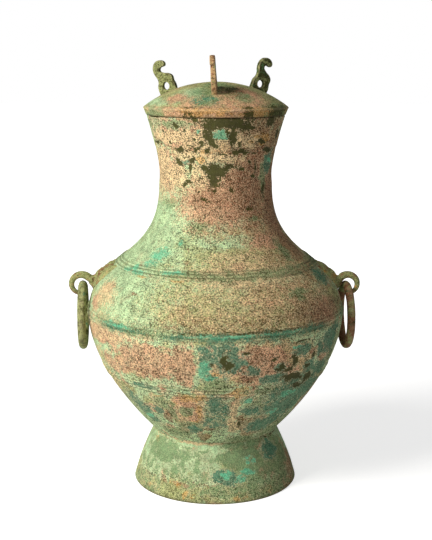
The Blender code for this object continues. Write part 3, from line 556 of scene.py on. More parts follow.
class Outline:
    """Outside of the body from the waist to the lip, as a table along its curves."""

    def __init__(self, sizes):
        self.sizes = sizes
        bowl = sizes.belly_height - sizes.foot_height
        shoulder = sizes.neck_height - sizes.belly_height
        throat = sizes.mouth_height - sizes.neck_height
        rise = sizes.bowl_rise * bowl
        reach = sizes.mouth_under * throat
        waist = (sizes.waist_radius, sizes.foot_height)
        belly = (sizes.belly_radius, sizes.belly_height)
        neck = (sizes.neck_radius, sizes.neck_height)
        mouth = (sizes.mouth_radius, sizes.mouth_height)
        curves = (
            (waist,
             (waist[0] + rise * math.cos(sizes.bowl_angle), waist[1] + rise * math.sin(sizes.bowl_angle)),
             (belly[0], belly[1] - sizes.belly_under * bowl), belly),
            (belly, (belly[0], belly[1] + sizes.belly_over * shoulder),
             (neck[0], neck[1] - sizes.neck_under * shoulder), neck),
            (neck, (neck[0], neck[1] + sizes.neck_over * throat),
             (mouth[0] - reach * math.sin(sizes.mouth_flare), mouth[1] - reach * math.cos(sizes.mouth_flare)),
             mouth),
        )
        points = np.concatenate([bezier(c, np.linspace(0, 1, 400, endpoint=False)) for c in curves])
        points = np.vstack([points, mouth])
        self.radii, self.heights = points.T
        steps = np.hypot(np.diff(self.radii), np.diff(self.heights))
        self.travel = np.concatenate([[0.0], np.cumsum(steps)])
        across = np.gradient(self.heights, self.travel)
        up = -np.gradient(self.radii, self.travel)
        self.normals = np.stack([across, up], axis=1) / np.hypot(across, up)[:, None]

    def radius(self, height):
        """Radius of the plain body at a height."""
        return np.interp(height, self.heights, self.radii)

    def normal(self, height):
        """Outward direction at a height, as (radius, height)."""
        return (np.interp(height, self.heights, self.normals[:, 0]),
                np.interp(height, self.heights, self.normals[:, 1]))

    def point(self, height, proud=0.0):
        """Radius and height of a point that stands proud of the surface."""
        across, up = self.normal(height)
        return self.radius(height) + proud * across, height + proud * up

    def along(self, height):
        """Distance along the surface from the waist to a height."""
        return np.interp(height, self.heights, self.travel)

    def climb(self, height, distance):
        """Height reached after a distance along the surface, upwards if positive."""
        return np.interp(self.along(height) + distance, self.travel, self.heights)

    def foot(self, height):
        """Radius of the foot at a height."""
        sizes = self.sizes
        part = height / sizes.foot_height
        straight = sizes.foot_radius + (sizes.waist_radius - sizes.foot_radius) * part
        return straight + 4 * sizes.foot_bulge * part * (1 - part)

    def wall(self, height):
        """Thickness of the body's wall, which grows towards the lip."""
        sizes = self.sizes
        edge = sizes.mouth_height - sizes.collar_depth
        part = np.clip((height - edge) / sizes.collar_depth, 0.0, 1.0)
        return sizes.body_wall + (sizes.lip_wall - sizes.body_wall) * part

    def relief(self, height):
        """How far the collar and the bands stand proud at a height."""
        sizes = self.sizes
        edge = sizes.mouth_height - sizes.collar_depth
        proud = sizes.collar_relief * np.clip((height - edge) / sizes.collar_step + 1.0, 0.0, 1.0)
        ribs = np.array(BAND_RIBS)
        for middle in (sizes.lower_band, sizes.middle_band, sizes.upper_band):
            place = (self.along(height) - self.along(middle)) / (sizes.band_width / 2)
            proud = proud + sizes.band_relief * np.interp(place, ribs[:, 0], ribs[:, 1], 0.0, 0.0)
        return proud


def bezier(points, part):
    """Points at shares of the way along a cubic curve."""
    part = np.asarray(part)[:, None]
    rest = 1 - part
    p = np.array(points, float)
    return (rest ** 3 * p[0] + 3 * rest ** 2 * part * p[1] + 3 * rest * part ** 2 * p[2] + part ** 3 * p[3])


def stepped(start, end, step):
    """Evenly spaced values from start to end, about a step apart."""
    return np.linspace(start, end, max(2, int(round(abs(end - start) / step)) + 1))


def lumps(points, size, seed):
    """Smooth random value between -1 and 1 at each point, with lumps of about the given size."""
    place = points / size + seed * SEED_STEP
    cell = np.floor(place).astype(np.int64)
    part = place - cell
    part = part * part * (3 - 2 * part)
    total = np.zeros(len(points))
    for corner in itertools.product((0, 1), repeat=3):
        mixed = np.bitwise_xor.reduce((cell + corner) * CELL_FACTORS, axis=1)
        mixed = (mixed ^ (mixed >> 13)) * MIX_FACTOR
        value = ((mixed ^ (mixed >> 16)) & 0xFFFFF) / 0x7FFFF - 1.0
        total += value * np.prod(np.where(corner, part, 1 - part), axis=1)
    return total


def points_of(mesh):
    """Places of a mesh's points, as an array."""
    places = np.empty(len(mesh.vertices) * 3)
    mesh.vertices.foreach_get("co", places)
    return places.reshape(-1, 3)


def normals_of(mesh):
    """Directions of a mesh's points, as an array."""
    ways = np.empty(len(mesh.vertices) * 3)
    mesh.vertices.foreach_get("normal", ways)
    return ways.reshape(-1, 3)


def move_points(mesh, places):
    """Give a mesh's points new places."""
    mesh.vertices.foreach_set("co", places.astype(np.float32).ravel())
    mesh.update()


def push_out(mesh, push):
    """Move a mesh's points outwards, each by its own distance."""
    move_points(mesh, points_of(mesh) + normals_of(mesh) * push[:, None])


def paint(mesh, name, values):
    """Store a value for each point of a mesh."""
    layer = mesh.attributes.new(name, "FLOAT", "POINT")
    layer.data.foreach_set("value", np.asarray(values, np.float32))


def steep(value, low, high):
    """Smooth step from 0 to 1 between two values."""
    part = np.clip((value - low) / (high - low), 0.0, 1.0)
    return part * part * (3 - 2 * part)


def uneven(points, waves):
    """Height of a casting's unevenness at each point."""
    return sum(height * lumps(points, size, seed) for height, size, seed in waves)


def lost_crust(points, dark, seed):
    """How far the crust is lost at each point, from the strength of its dark patches."""
    return steep(dark + 0.10 * lumps(points, 0.003, seed), 0.46, 0.56)


def near(value, middle, width):
    """Bump that is 1 at a middle value and fades over a width."""
    return np.exp(-((value - middle) / width) ** 2)


def hidden_patches(kinds, low, high, seed):
    """Broad patches for the side that the photograph doesn't show, from a fixed seed."""
    rng = np.random.default_rng(seed)
    made = {}
    for kind, (number, wide, tall) in kinds.items():
        turns = rng.uniform(*HIDDEN_TURNS, number)
        levels = rng.uniform(low, high, number)
        sizes = rng.uniform(0.6, 1.4, (number, 2))
        made[kind] = [(a, z, w * wide, h * tall) for a, z, (w, h) in zip(turns, levels, sizes)]
    return made


def patch_strength(patches, turn, level):
    """Strength of the nearest patch: 1 at its middle, a half at its edge and 0 well outside."""
    best = np.zeros(len(turn))
    for middle, height, wide, tall, *most in patches:
        away = (turn - middle + 180) % 360 - 180
        distance = np.hypot(away / wide, (level - height) / tall)
        best = np.maximum(best, np.minimum(1 - distance / 2, min(most, default=1.0)))
    return best


def paint_patches(mesh, patches, level):
    """Store each colour's patches on a mesh, with their outlines wandering as corrosion does."""
    places = points_of(mesh)
    turn = np.degrees(np.arctan2(places[:, 1], places[:, 0])) - FRONT
    reach = np.degrees(0.001 / np.maximum(np.hypot(places[:, 0], places[:, 1]), 0.01))
    fields = {}
    for index, (kind, listed) in enumerate(patches.items()):
        wander, drift = (uneven(places, [(high, size, seed + index) for high, size, seed in waves])
                         for waves in (WANDER, DRIFT))
        fields[kind] = patch_strength(listed, turn + wander * reach, level + drift)
    if "bare" in fields:
        fields["dark"] = np.minimum(fields["dark"], 1 - fields.pop("bare"))
    for kind, field in fields.items():
        paint(mesh, kind, field)
    return fields


class Wiring:
    """Short way to add nodes to a tree and join them."""

    def __init__(self, tree):
        self.tree = tree

    def join(self, value, socket):
        """Give a socket a value or another node's output."""
        if isinstance(value, bpy.types.NodeSocket):
            self.tree.links.new(value, socket)
        else:
            socket.default_value = value

    def node(self, kind, inputs=(), **settings):
        """Node with its settings and inputs; an input is a value or another node's output."""
        made = self.tree.nodes.new(kind)
        for key, value in settings.items():
            setattr(made, key, value)
        for key, value in dict(inputs).items():
            self.join(value, made.inputs[key])
        return made

    def group(self, name, maker, inputs):
        """Outputs of a shared node group, which is made when it is first used."""
        tree = bpy.data.node_groups.get(name) or maker(name)
        return self.node("ShaderNodeGroup", inputs, node_tree=tree).outputs

    def math(self, operation, first, second=0.0):
        """Result of a sum."""
        return self.node("ShaderNodeMath", {0: first, 1: second}, operation=operation).outputs[0]

    plus = functools.partialmethod(math, "ADD")
    less = functools.partialmethod(math, "SUBTRACT")
    times = functools.partialmethod(math, "MULTIPLY")

    def blend(self, factor, first, second, mode="MIX"):
        """Mix of two colours."""
        return self.node("ShaderNodeMix", {0: factor, 6: first, 7: second}, data_type="RGBA",
                         blend_type=mode).outputs[2]

    def shaded(self, colour, factor):
        """Colour made darker or lighter by a factor."""
        return self.blend(1.0, colour, (factor, factor, factor, 1.0), "MULTIPLY")

    def ramp(self, value, low, high):
        """Smooth step from 0 to 1 between two values."""
        return self.node("ShaderNodeMapRange", {"Value": value, "From Min": low, "From Max": high},
                         interpolation_type="SMOOTHSTEP").outputs[0]

    def noise(self, dimensions="4D", **inputs):
        """Value of solid noise."""
        return self.node("ShaderNodeTexNoise", inputs, noise_dimensions=dimensions).outputs[0]

    def place(self):
        """Places on the object, in its own coordinates."""
        return self.node("ShaderNodeTexCoord").outputs["Object"]

    def stored(self, name):
        """Value that the mesh stores for each of its points."""
        return self.node("ShaderNodeAttribute", attribute_name=name).outputs["Fac"]

    def finish(self, shape, bronze, result):
        """End a tree of geometry with real points and its material."""
        real = self.node("GeometryNodeRealizeInstances", {"Geometry": shape})
        done = self.node("GeometryNodeSetMaterial", {"Geometry": real.outputs[0], "Material": bronze})
        self.join(done.outputs[0], result["Geometry"])
        return self.tree


def node_group(name, kind, inputs, outputs):
    """Node group whose inputs and outputs are named by kind: its wiring, what it is given, its results."""
    wire = Wiring(bpy.data.node_groups.new(name, kind))
    for way, sockets in (("INPUT", inputs), ("OUTPUT", outputs)):
        for socket, labels in sockets.items():
            for label in labels:
                wire.tree.interface.new_socket(label, in_out=way, socket_type="NodeSocket" + socket)
    return wire, wire.node("NodeGroupInput").outputs, wire.node("NodeGroupOutput").inputs


def turning_tree(name):
    """Tree that turns a profile about the vertical axis, keeping each of its points as a row."""
    wire, given, result = node_group(name, "GeometryNodeTree", {
        "Geometry": ("Geometry",), "Int": ("Columns",), "Material": ("Bronze",),
    }, {"Geometry": ("Geometry",)})
    profile, columns = given["Geometry"], given["Columns"]
    size = wire.node("GeometryNodeAttributeDomainSize", {"Geometry": profile}, component="MESH")
    rows = size.outputs["Point Count"]
    grid = wire.node("GeometryNodeMeshGrid", {"Vertices X": wire.plus(columns, 1.0), "Vertices Y": rows})
    index = wire.node("GeometryNodeInputIndex").outputs[0]
    column = wire.math("FLOOR", wire.math("DIVIDE", wire.plus(index, 0.5), rows))
    sample = wire.node("GeometryNodeSampleIndex", {
        "Geometry": profile,
        "Value": wire.node("GeometryNodeInputPosition").outputs[0],
        "Index": wire.less(index, wire.times(column, rows)),
    }, data_type="FLOAT_VECTOR", domain="POINT")
    parts = wire.node("ShaderNodeSeparateXYZ", {0: sample.outputs[0]}).outputs
    angle = wire.times(wire.math("DIVIDE", column, columns), 2 * math.pi)
    turned = wire.node("ShaderNodeCombineXYZ", {
        "X": wire.times(parts["X"], wire.math("COSINE", angle)),
        "Y": wire.times(parts["X"], wire.math("SINE", angle)),
        "Z": parts["Z"],
    })
    moved = wire.node("GeometryNodeSetPosition", {"Geometry": grid.outputs["Mesh"],
                                                  "Position": turned.outputs[0]})
    closed = wire.node("GeometryNodeMergeByDistance", {"Geometry": moved.outputs[0],
                                                       "Distance": SEAM_GAP})
    return wire.finish(closed.outputs[0], given["Bronze"], result)


def ring_tree(name):
    """Tree that bends a bar into a ring, a little uneven as it was cast."""
    wire, given, result = node_group(name, "GeometryNodeTree", {
        "Geometry": ("Geometry",), "Float": ("Radius", "Bar", "Unevenness", "Seed"),
        "Int": ("Segments", "Sides"), "Material": ("Bronze",),
    }, {"Geometry": ("Geometry",)})
    path, bar = (wire.node("GeometryNodeCurvePrimitiveCircle",
                           {"Resolution": given[fine], "Radius": given[wide]}).outputs[0]
                 for fine, wide in (("Segments", "Radius"), ("Sides", "Bar")))
    tube = wire.node("GeometryNodeCurveToMesh", {"Curve": path, "Profile Curve": bar})
    normal = wire.node("GeometryNodeInputNormal").outputs[0]
    waves = wire.noise(W=given["Seed"], Scale=120.0, Detail=3.0)
    push = wire.times(wire.less(waves, 0.5), given["Unevenness"])
    offset = wire.node("ShaderNodeVectorMath", {0: normal, "Scale": push}, operation="SCALE")
    moved = wire.node("GeometryNodeSetPosition", {"Geometry": tube.outputs[0], "Offset": offset.outputs[0]})
    return wire.finish(moved.outputs[0], given["Bronze"], result)


def settled(name, data, alter=None):
    """Mesh that Blender works out of a curve or mesh, with modifiers that go again afterwards."""
    holder = bpy.data.objects.new(name, data)
    bpy.context.scene.collection.objects.link(holder)
    if alter:
        alter(holder)
    bpy.context.view_layer.update()
    made = bpy.data.meshes.new_from_object(holder.evaluated_get(bpy.context.evaluated_depsgraph_get()))
    bpy.data.objects.remove(holder)
    return made


def baked(name, mesh, tree, values):
    """Closed mesh that a node tree makes from a start mesh, with the tree's inputs set by identifier."""
    def alter(holder):
        modifier = holder.modifiers.new(name, "NODES")
        modifier.node_group = tree
        for item in tree.interface.items_tree:
            if item.in_out == "INPUT" and item.name in values:
                modifier[item.identifier] = values[item.name]

    result = settled(name, mesh, alter)
    if not result.polygons:
        raise RuntimeError(f"{name}: its node tree made no faces")
    return result


def remeshed(name, data, voxel, smoothing):
    """Even closed mesh of a curve or mesh, by voxels of the given size, then smoothed."""
    def alter(holder):
        voxels = holder.modifiers.new("voxels", "REMESH")
        voxels.mode = "VOXEL"
        voxels.voxel_size = voxel
        soft = holder.modifiers.new("soften", "SMOOTH")
        soft.iterations = smoothing
        soft.factor = 0.5

    return settled(name, settled(name, data), alter)


def tidy_mesh(mesh):
    """Close a mesh's seams and turn its faces outwards."""
    shape = bmesh.new()
    shape.from_mesh(mesh)
    bmesh.ops.remove_doubles(shape, verts=shape.verts[:], dist=POINT_GAP)
    bmesh.ops.recalc_face_normals(shape, faces=shape.faces[:])
    if shape.calc_volume(signed=True) < 0:
        bmesh.ops.reverse_faces(shape, faces=shape.faces[:])
    open_edges = sum(1 for edge in shape.edges if len(edge.link_faces) != 2)
    if open_edges:
        raise RuntimeError(f"{mesh.name} has {open_edges} open edges")
    shape.to_mesh(mesh)
    shape.free()
    mesh.shade_smooth()


def add_piece(name, mesh, material, body, nodes):
    """Put a finished mesh in the scene as a piece that stands for its CAD nodes."""
    mesh.name = name
    mesh.materials.clear()
    mesh.materials.append(material)
    piece = bpy.data.objects.new(name, mesh)
    bpy.context.scene.collection.objects.link(piece)
    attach(piece, body)
    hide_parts(*nodes)


def line_mesh(name, points):
    """Mesh of points joined in a line, for the turning tree."""
    mesh = bpy.data.meshes.new(name)
    edges = [(i, i + 1) for i in range(len(points) - 1)]
    mesh.from_pydata([(r, 0.0, z) for r, z in points], edges, [])
    return mesh


def turned(name, points, columns, material):
    """Casting turned from its profile."""
    tree = bpy.data.node_groups.get("turned casting") or turning_tree("turned casting")
    mesh = baked(name, line_mesh(name + "_profile", points), tree, {"Columns": columns, "Bronze": material})
    tidy_mesh(mesh)
    return mesh


def hollows(mesh, passes):
    """How deep each point lies below its surroundings, in metres; ridges are negative."""
    places = points_of(mesh)
    edges = np.empty(len(mesh.edges) * 2, int)
    mesh.edges.foreach_get("vertices", edges)
    first, second = edges.reshape(-1, 2).T
    number = np.bincount(np.concatenate([first, second]), minlength=len(places))[:, None]
    smooth = places.copy()
    for _ in range(passes):
        total = np.stack([np.bincount(first, smooth[second, i], len(places))
                          + np.bincount(second, smooth[first, i], len(places)) for i in range(3)], axis=1)
        smooth = total / np.maximum(number, 1)
    return np.einsum("ij,ij->i", smooth - places, normals_of(mesh))


def patch_group(name):
    """Group that lays one colour of crust over another, with a ragged edge and a pale rim."""
    wire, given, result = node_group(name, "ShaderNodeTree", {
        "Color": ("Below", "Colour"),
        "Float": ("Field", "Ragged", "Speckled", "Softness", "Strength", "Grain", "Crisp", "Rim", "Offset"),
    }, {"Color": ("Colour",), "Float": ("Mask",)})
    place = wire.place()
    coarse = wire.noise(Vector=place, W=given["Offset"], Scale=given["Grain"], Detail=4.0, Roughness=0.62)
    fine = wire.noise(Vector=place, W=given["Offset"], Scale=SPECKLE_SCALE, Detail=2.0, Roughness=0.7)
    dull = wire.less(1.0, wire.times(given["Crisp"], 0.7))
    blur = wire.times(given["Softness"], dull)
    spread = wire.times(wire.less(coarse, 0.5), given["Ragged"])
    grains = wire.times(wire.less(fine, 0.5), wire.times(given["Speckled"], dull))
    value = wire.plus(given["Field"], wire.plus(spread, grains))
    mask = wire.times(wire.ramp(value, wire.less(0.5, blur), wire.plus(0.5, blur)), given["Strength"])
    tinted = wire.blend(wire.ramp(coarse, 0.3, 0.7), wire.shaded(given["Colour"], PATCH_SHADES[0]),
                        wire.shaded(given["Colour"], PATCH_SHADES[1]))
    rim = wire.times(wire.ramp(value, *RIM_REACH), wire.times(given["Crisp"], given["Rim"]))
    wire.join(wire.blend(mask, wire.blend(rim, given["Below"], RIM_COLOUR), tinted), result["Colour"])
    wire.join(mask, result["Mask"])
    return wire.tree


def grain_group(name):
    """Group of small pale grains and dark pits all over the crust, with their height."""
    wire, given, result = node_group(name, "ShaderNodeTree", {
        "Color": ("Colour", "Grain", "Pit"), "Float": ("Pale", "Pitted", "Scale"),
    }, {"Color": ("Colour",), "Float": ("Height",)})
    place = wire.place()
    cells = wire.node("ShaderNodeTexVoronoi", {"Vector": place, "Scale": given["Scale"]}).outputs
    chance = wire.node("ShaderNodeSeparateColor", {0: cells["Color"]}).outputs[0]
    core = wire.ramp(cells["Distance"], 0.75, 0.25)
    broad = wire.noise("3D", Vector=place, Scale=90.0, Detail=3.0)
    value = wire.plus(chance, wire.times(wire.less(broad, 0.5), 0.6))
    pale = wire.times(wire.times(wire.ramp(value, 0.42, 0.70), core), given["Pale"])
    pitted = wire.times(wire.ramp(value, 0.36, 0.14), given["Pitted"])
    light = wire.blend(0.55, wire.shaded(given["Colour"], GRAIN_LIGHT), given["Grain"])
    deep = wire.blend(0.45, wire.shaded(given["Colour"], PIT_DARK), given["Pit"])
    wire.join(wire.blend(pitted, wire.blend(pale, given["Colour"], light), deep), result["Colour"])
    knob = wire.times(core, wire.plus(wire.times(chance, 0.8), 0.2))
    wire.join(wire.plus(knob, wire.times(broad, 0.6)), result["Height"])
    return wire.tree


def cloud_group(name):
    """Group that mixes three tones in soft clouds, for the crust under its patches."""
    wire, given, result = node_group(name, "ShaderNodeTree", {
        "Color": ("First", "Second", "Third"), "Float": ("Scale", "Offset"),
    }, {"Color": ("Colour",)})
    clouds = wire.noise(Vector=wire.place(), W=given["Offset"], Scale=given["Scale"], Detail=5.0,
                        Roughness=0.6, Distortion=0.6)
    lower = wire.blend(wire.ramp(clouds, 0.38, 0.52), given["First"], given["Second"])
    wire.join(wire.blend(wire.ramp(clouds, 0.54, 0.66), lower, given["Third"]), result["Colour"])
    return wire.tree


def crust_material(name, tones, pale, pitted, clouds=32.0, offset=0.0):
    """Bronze under a mineral crust: clouds of three tones, the piece's own patches, grains and pits, with
    painted shade and a painted highlight over them.
    """
    settings = bpy.context.scene.vase_crust
    colours = {key: (*getattr(settings, key), 1.0) for key in CrustColours.__annotations__}
    material = bpy.data.materials.new(name)
    material.use_nodes = True
    wire = Wiring(material.node_tree)
    first, second, third = (colours[tone_name] for tone_name in tones)
    laid = wire.group("crust clouds", cloud_group, {
        "First": first, "Second": second, "Third": third, "Scale": clouds, "Offset": offset})["Colour"]
    crisp = wire.stored("crisp")
    masks = {}
    for index, (kind, (ragged, speckled, soft, strength, size, rim)) in enumerate(PATCH_LOOKS.items()):
        patch = wire.group("crust patch", patch_group, {
            "Below": laid, "Colour": colours[kind], "Field": wire.stored(kind), "Ragged": ragged,
            "Speckled": speckled, "Softness": soft, "Strength": strength, "Grain": size, "Crisp": crisp,
            "Rim": rim, "Offset": offset + index * NOISE_STEP})
        laid = patch["Colour"]
        masks[kind] = patch["Mask"]
    bare = wire.less(1.0, masks["dark"])
    clean = wire.times(wire.math("MAXIMUM", masks["teal"], masks["turquoise"]), TEAL_CLEAN)
    grainy = wire.times(bare, wire.less(1.0, wire.math("MAXIMUM", clean, wire.stored("smooth"))))
    coarse = wire.times(crisp, CRISP_COARSE)
    grain = wire.group("crust grain", grain_group, {
        "Colour": laid, "Grain": colours["grain"], "Pit": colours["pit_and_shade"], "Scale": GRAIN_SCALE,
        "Pale": wire.times(grainy, wire.plus(coarse, pale)),
        "Pitted": wire.times(grainy, wire.plus(coarse, pitted))})
    shade = grain["Colour"]
    # Painted shade in hollows and inside, and a painted highlight on ridges
    for field, amount, tint in FIELD_TINTS:
        shade = wire.blend(wire.times(wire.stored(field), amount), shade, colours[tint])
    height = wire.plus(grain["Height"], wire.times(bare, CRUST_STEP))
    bump = wire.node("ShaderNodeBump", {"Height": height, "Strength": BUMP_STRENGTH,
                                        "Distance": GRAIN_HEIGHT})
    rough = wire.less(CRUST_ROUGH, wire.times(masks["dark"], BARE_SMOOTH))
    shader = material.node_tree.nodes["Principled BSDF"]
    for label, value in (("Base Color", shade), ("Roughness", rough), ("Metallic", 0.0),
                         ("Specular IOR Level", CRUST_GLOSS), ("Normal", bump.outputs[0])):
        wire.join(value, shader.inputs[label])
    return material


def vessel_profile(outline):
    """Profile of the vessel as (radius, height), from the floor inside, over the lip, to the axis below."""
    sizes = outline.sizes
    throat = sizes.mouth_height - bpy.context.scene.vase_lid.flange_depth
    heights = stepped(sizes.foot_height, throat, sizes.inside_row)
    waist = outline.point(sizes.foot_height, -sizes.body_wall)
    pull_in, pull_down = FLOOR_PULL
    floor = bezier(((0.0, sizes.floor_height), (FLOOR_FLAT * waist[0], sizes.floor_height),
                    (waist[0] - pull_in * math.cos(sizes.bowl_angle),
                     waist[1] - pull_down * math.sin(sizes.bowl_angle)), waist), np.linspace(0, 1, 8))
    inner = np.stack(outline.point(heights, -outline.wall(heights)), axis=1)
    bore = sizes.mouth_radius - sizes.lip_wall
    lip = [(bore, sizes.mouth_height), (sizes.mouth_radius - 0.6 * sizes.lip_wall, sizes.mouth_height)]
    top = sizes.mouth_height - sizes.lip_round
    travel = [outline.along(top)]
    edges = [outline.along(m) + s * sizes.band_width * BAND_MARGIN
             for m in (sizes.upper_band, sizes.middle_band, sizes.lower_band) for s in (1, -1)]
    for index, stop in enumerate(edges + [0.0]):
        step = sizes.band_row if index % 2 else sizes.row
        travel += list(stepped(travel[-1], stop, step))[1:]
    levels = np.interp(travel, outline.travel, outline.heights)
    outer = np.stack(outline.point(levels, outline.relief(levels)), axis=1)
    rounding = [(outer[0][0] - sizes.lip_round, sizes.mouth_height),
                (outer[0][0] - 0.3 * sizes.lip_round, sizes.mouth_height - 0.3 * sizes.lip_round)]
    falls = stepped(sizes.foot_height, sizes.foot_edge, sizes.row)[1:]
    foot = np.stack([outline.foot(falls), falls], axis=1)
    under = stepped(0.0, sizes.foot_height - sizes.floor_wall, sizes.inside_row)
    hollow = np.stack([outline.foot(under) - sizes.foot_wall, under], axis=1)
    rim = hollow[-1]
    middle = sizes.floor_height - sizes.floor_wall
    below = bezier((rim, (rim[0] - pull_in, rim[1] - pull_down), (FLOOR_FLAT * rim[0], middle),
                    (0.0, middle)), np.linspace(0, 1, 8))
    ground = [(outline.foot(0.0) - sizes.foot_edge, 0.0)]
    return np.concatenate([floor, inner[1:], lip, rounding, outer, foot, ground, hollow, below[1:]])


class VASE_OT_vessel(bpy.types.Operator):
    """Make the vessel: body, neck, collar, bands and foot under a patchy mineral crust"""
    bl_idname = "vase.make_vessel"
    bl_label = "Vessel"

    def execute(self, context):
        sizes = context.scene.vase_vessel
        outline = Outline(sizes)
        material = crust_material("vessel crust", ("olive", "mint", "pink"), pale=1.0, pitted=0.92)
        mesh = turned("vessel", vessel_profile(outline), sizes.columns, material)
        places = points_of(mesh)
        heights = places[:, 2]
        skin = np.where(heights > sizes.foot_height, outline.radius(heights), outline.foot(heights))
        outside = np.hypot(places[:, 0], places[:, 1]) > skin - SKIN_DEPTH
        hidden = hidden_patches(HIDDEN_PATCHES, *HIDDEN_LEVELS, HIDDEN_SEED)
        patches = {kind: list(listed) + hidden.get(kind, []) for kind, listed in VESSEL_PATCHES.items()}
        patches["teal"] += [(turn, 188, 20, 4.5) for turn in (100, 150, 205, 250)]
        patches["green"] += [(turn, 241, 30, 4) for turn in (95, 170, 235)]
        fields = paint_patches(mesh, patches, heights * 1000)
        push = uneven(places, VESSEL_WAVES) - VESSEL_LOSS * lost_crust(places, fields["dark"], 3)
        push += CREAM_HEIGHT * steep(fields["cream"], 0.35, 0.6)
        flat = steep(heights, 0.0, 0.003) * steep(sizes.mouth_height - heights, 0.0, 0.0015)
        push_out(mesh, np.where(outside, push * flat, 0.0))
        paint(mesh, "inside", ~outside)
        self.paint_grain(mesh, places, heights * 1000)
        self.paint_relief(mesh, outline, places, outside)
        add_piece("vase_vessel", mesh, material, "vase", ["vessel"])
        return {"FINISHED"}

    def paint_grain(self, mesh, places, levels):
        """Store where the crust is crisp, below the middle band and on the neck, and where it is smooth."""
        turn = (np.degrees(np.arctan2(places[:, 1], places[:, 0])) - FRONT + 180) % 360 - 180
        paint(mesh, "crisp", np.maximum(1 - steep(levels, *CRISP_BELOW), steep(levels, *CRISP_ABOVE)))
        foot = (1 - steep(levels, *FOOT_TOP)) * (0.4 + 0.3 * steep(levels, *FOOT_CALM))
        left = (1 - steep(turn, *LEFT_SIDE)) * (1 - steep(levels, *LEFT_HIGH)) * steep(levels, *LEFT_LOW)
        paint(mesh, "smooth", np.maximum(foot, 0.35 * left))

    def paint_relief(self, mesh, outline, places, outside):
        """Store the painted shade in the crease, along the bottom and in the bands' grooves, and the painted
        highlight on the ribs.
        """
        sizes = outline.sizes
        heights = places[:, 2]
        crease = near(heights, sizes.foot_height, 0.0016)
        grooves = 0.0
        for band, depth in BAND_GROOVE_SHADE:
            away = outline.along(heights) - outline.along(getattr(sizes, band))
            away = np.abs(away) / (sizes.band_width / 2)
            lines = near(away, 0.45, 0.16) + 0.7 * near(away, 1.06, 0.10)
            grooves = np.maximum(grooves, depth * lines * (0.75 + 0.35 * lumps(places, 0.010, 9)))
        # Painted shade in the crease, along the bottom edge and in the grooves, and a painted highlight on
        # the ribs
        painted_shade = 0.3 * crease + 0.9 * near(heights, 0.0, 0.0022) + grooves
        paint(mesh, "hollow", np.clip(painted_shade * outside, 0, 1))
        paint(mesh, "painted_highlight", np.clip((outline.relief(heights) - 0.0008) / 0.0003, 0, 1) * outside * 0.3)


class Dome:
    """Measures of the lid, from its own sizes and the vessel's."""

    def __init__(self, sizes, vessel):
        self.sizes = sizes
        self.seat = vessel.mouth_height + sizes.gap
        self.foot = vessel.mouth_radius + sizes.overhang
        self.rim = self.foot + sizes.rim_flare
        self.corner = self.seat + sizes.rim_height
        self.sphere = (self.rim ** 2 + sizes.dome_rise ** 2) / (2 * sizes.dome_rise)
        self.centre = self.corner + sizes.dome_rise - self.sphere
        self.flange = vessel.mouth_radius - vessel.lip_wall - sizes.flange_clearance

    def height(self, radius, sink=0.0):
        """Height of the dome at a distance from the axis."""
        return self.centre + np.sqrt((self.sphere - sink) ** 2 - np.asarray(radius) ** 2)


def lid_profile(dome, outline):
    """Profile of the lid as (radius, height), from its apex round its flange to the axis below."""
    sizes = dome.sizes
    outer = stepped(0.0, dome.rim - 0.0008, sizes.row)
    top = np.stack([outer, dome.height(outer)], axis=1)
    edge = [(dome.rim - LID_ROUND / 2, dome.corner - LID_ROUND / 6), (dome.rim, dome.corner - LID_ROUND)]
    falls = stepped(dome.corner - LID_ROUND, dome.seat + 0.0004, sizes.row)[1:]
    part = (dome.corner - falls) / sizes.rim_height
    side = np.stack([dome.rim - sizes.rim_flare * part, falls], axis=1)
    low = dome.seat - sizes.flange_depth + sizes.gap
    vessel = outline.sizes
    draft = vessel.mouth_radius - outline.radius(vessel.mouth_height - sizes.flange_depth)
    taper = dome.flange - draft
    under = [(dome.foot - 0.0004, dome.seat), (dome.flange, dome.seat), (taper, low),
             (taper - sizes.flange_wall, low)]
    inner = stepped(dome.flange - sizes.flange_wall, 0.0, 0.006)
    hollow = np.stack([inner, dome.height(inner, sizes.wall)], axis=1)
    return np.concatenate([top, edge, side, under, hollow])


class VASE_OT_lid(bpy.types.Operator):
    """Make the domed lid with its slanting rim and flange"""
    bl_idname = "vase.make_lid"
    bl_label = "Lid"

    def execute(self, context):
        sizes = context.scene.vase_lid
        outline = Outline(context.scene.vase_vessel)
        dome = Dome(sizes, context.scene.vase_vessel)
        material = crust_material("lid crust", ("pink", "olive", "cream"), pale=0.75, pitted=0.6, offset=31.0)
        mesh = turned("lid", lid_profile(dome, outline), sizes.columns, material)
        places = points_of(mesh)
        heights = places[:, 2]
        radii = np.hypot(places[:, 0], places[:, 1])
        on_dome = heights > dome.height(np.minimum(radii, dome.rim)) - 0.001
        on_rim = radii > dome.rim - (dome.corner - heights) * 0.4 - 0.001
        outside = (heights > dome.seat + 0.0002) & (on_dome | on_rim)
        fields = paint_patches(mesh, LID_PATCHES, radii * 1000)
        push = uneven(places, LID_WAVES) - LID_LOSS * lost_crust(places, fields["dark"], 8)
        push_out(mesh, np.where(outside, push, 0.0))
        paint(mesh, "inside", ~outside)
        # Painted shade under the rim, where it sits on the lip, and a painted highlight along the rim's top
        # edge
        paint(mesh, "hollow", near(heights, dome.seat, 0.0010) * (radii > dome.flange + 0.001))
        paint(mesh, "painted_highlight", 0.4 * near(heights, dome.corner, 0.0012) * (radii > dome.rim - 0.002))
        add_piece("vase_lid", mesh, material, "vase", ["lid"])
        return {"FINISHED"}


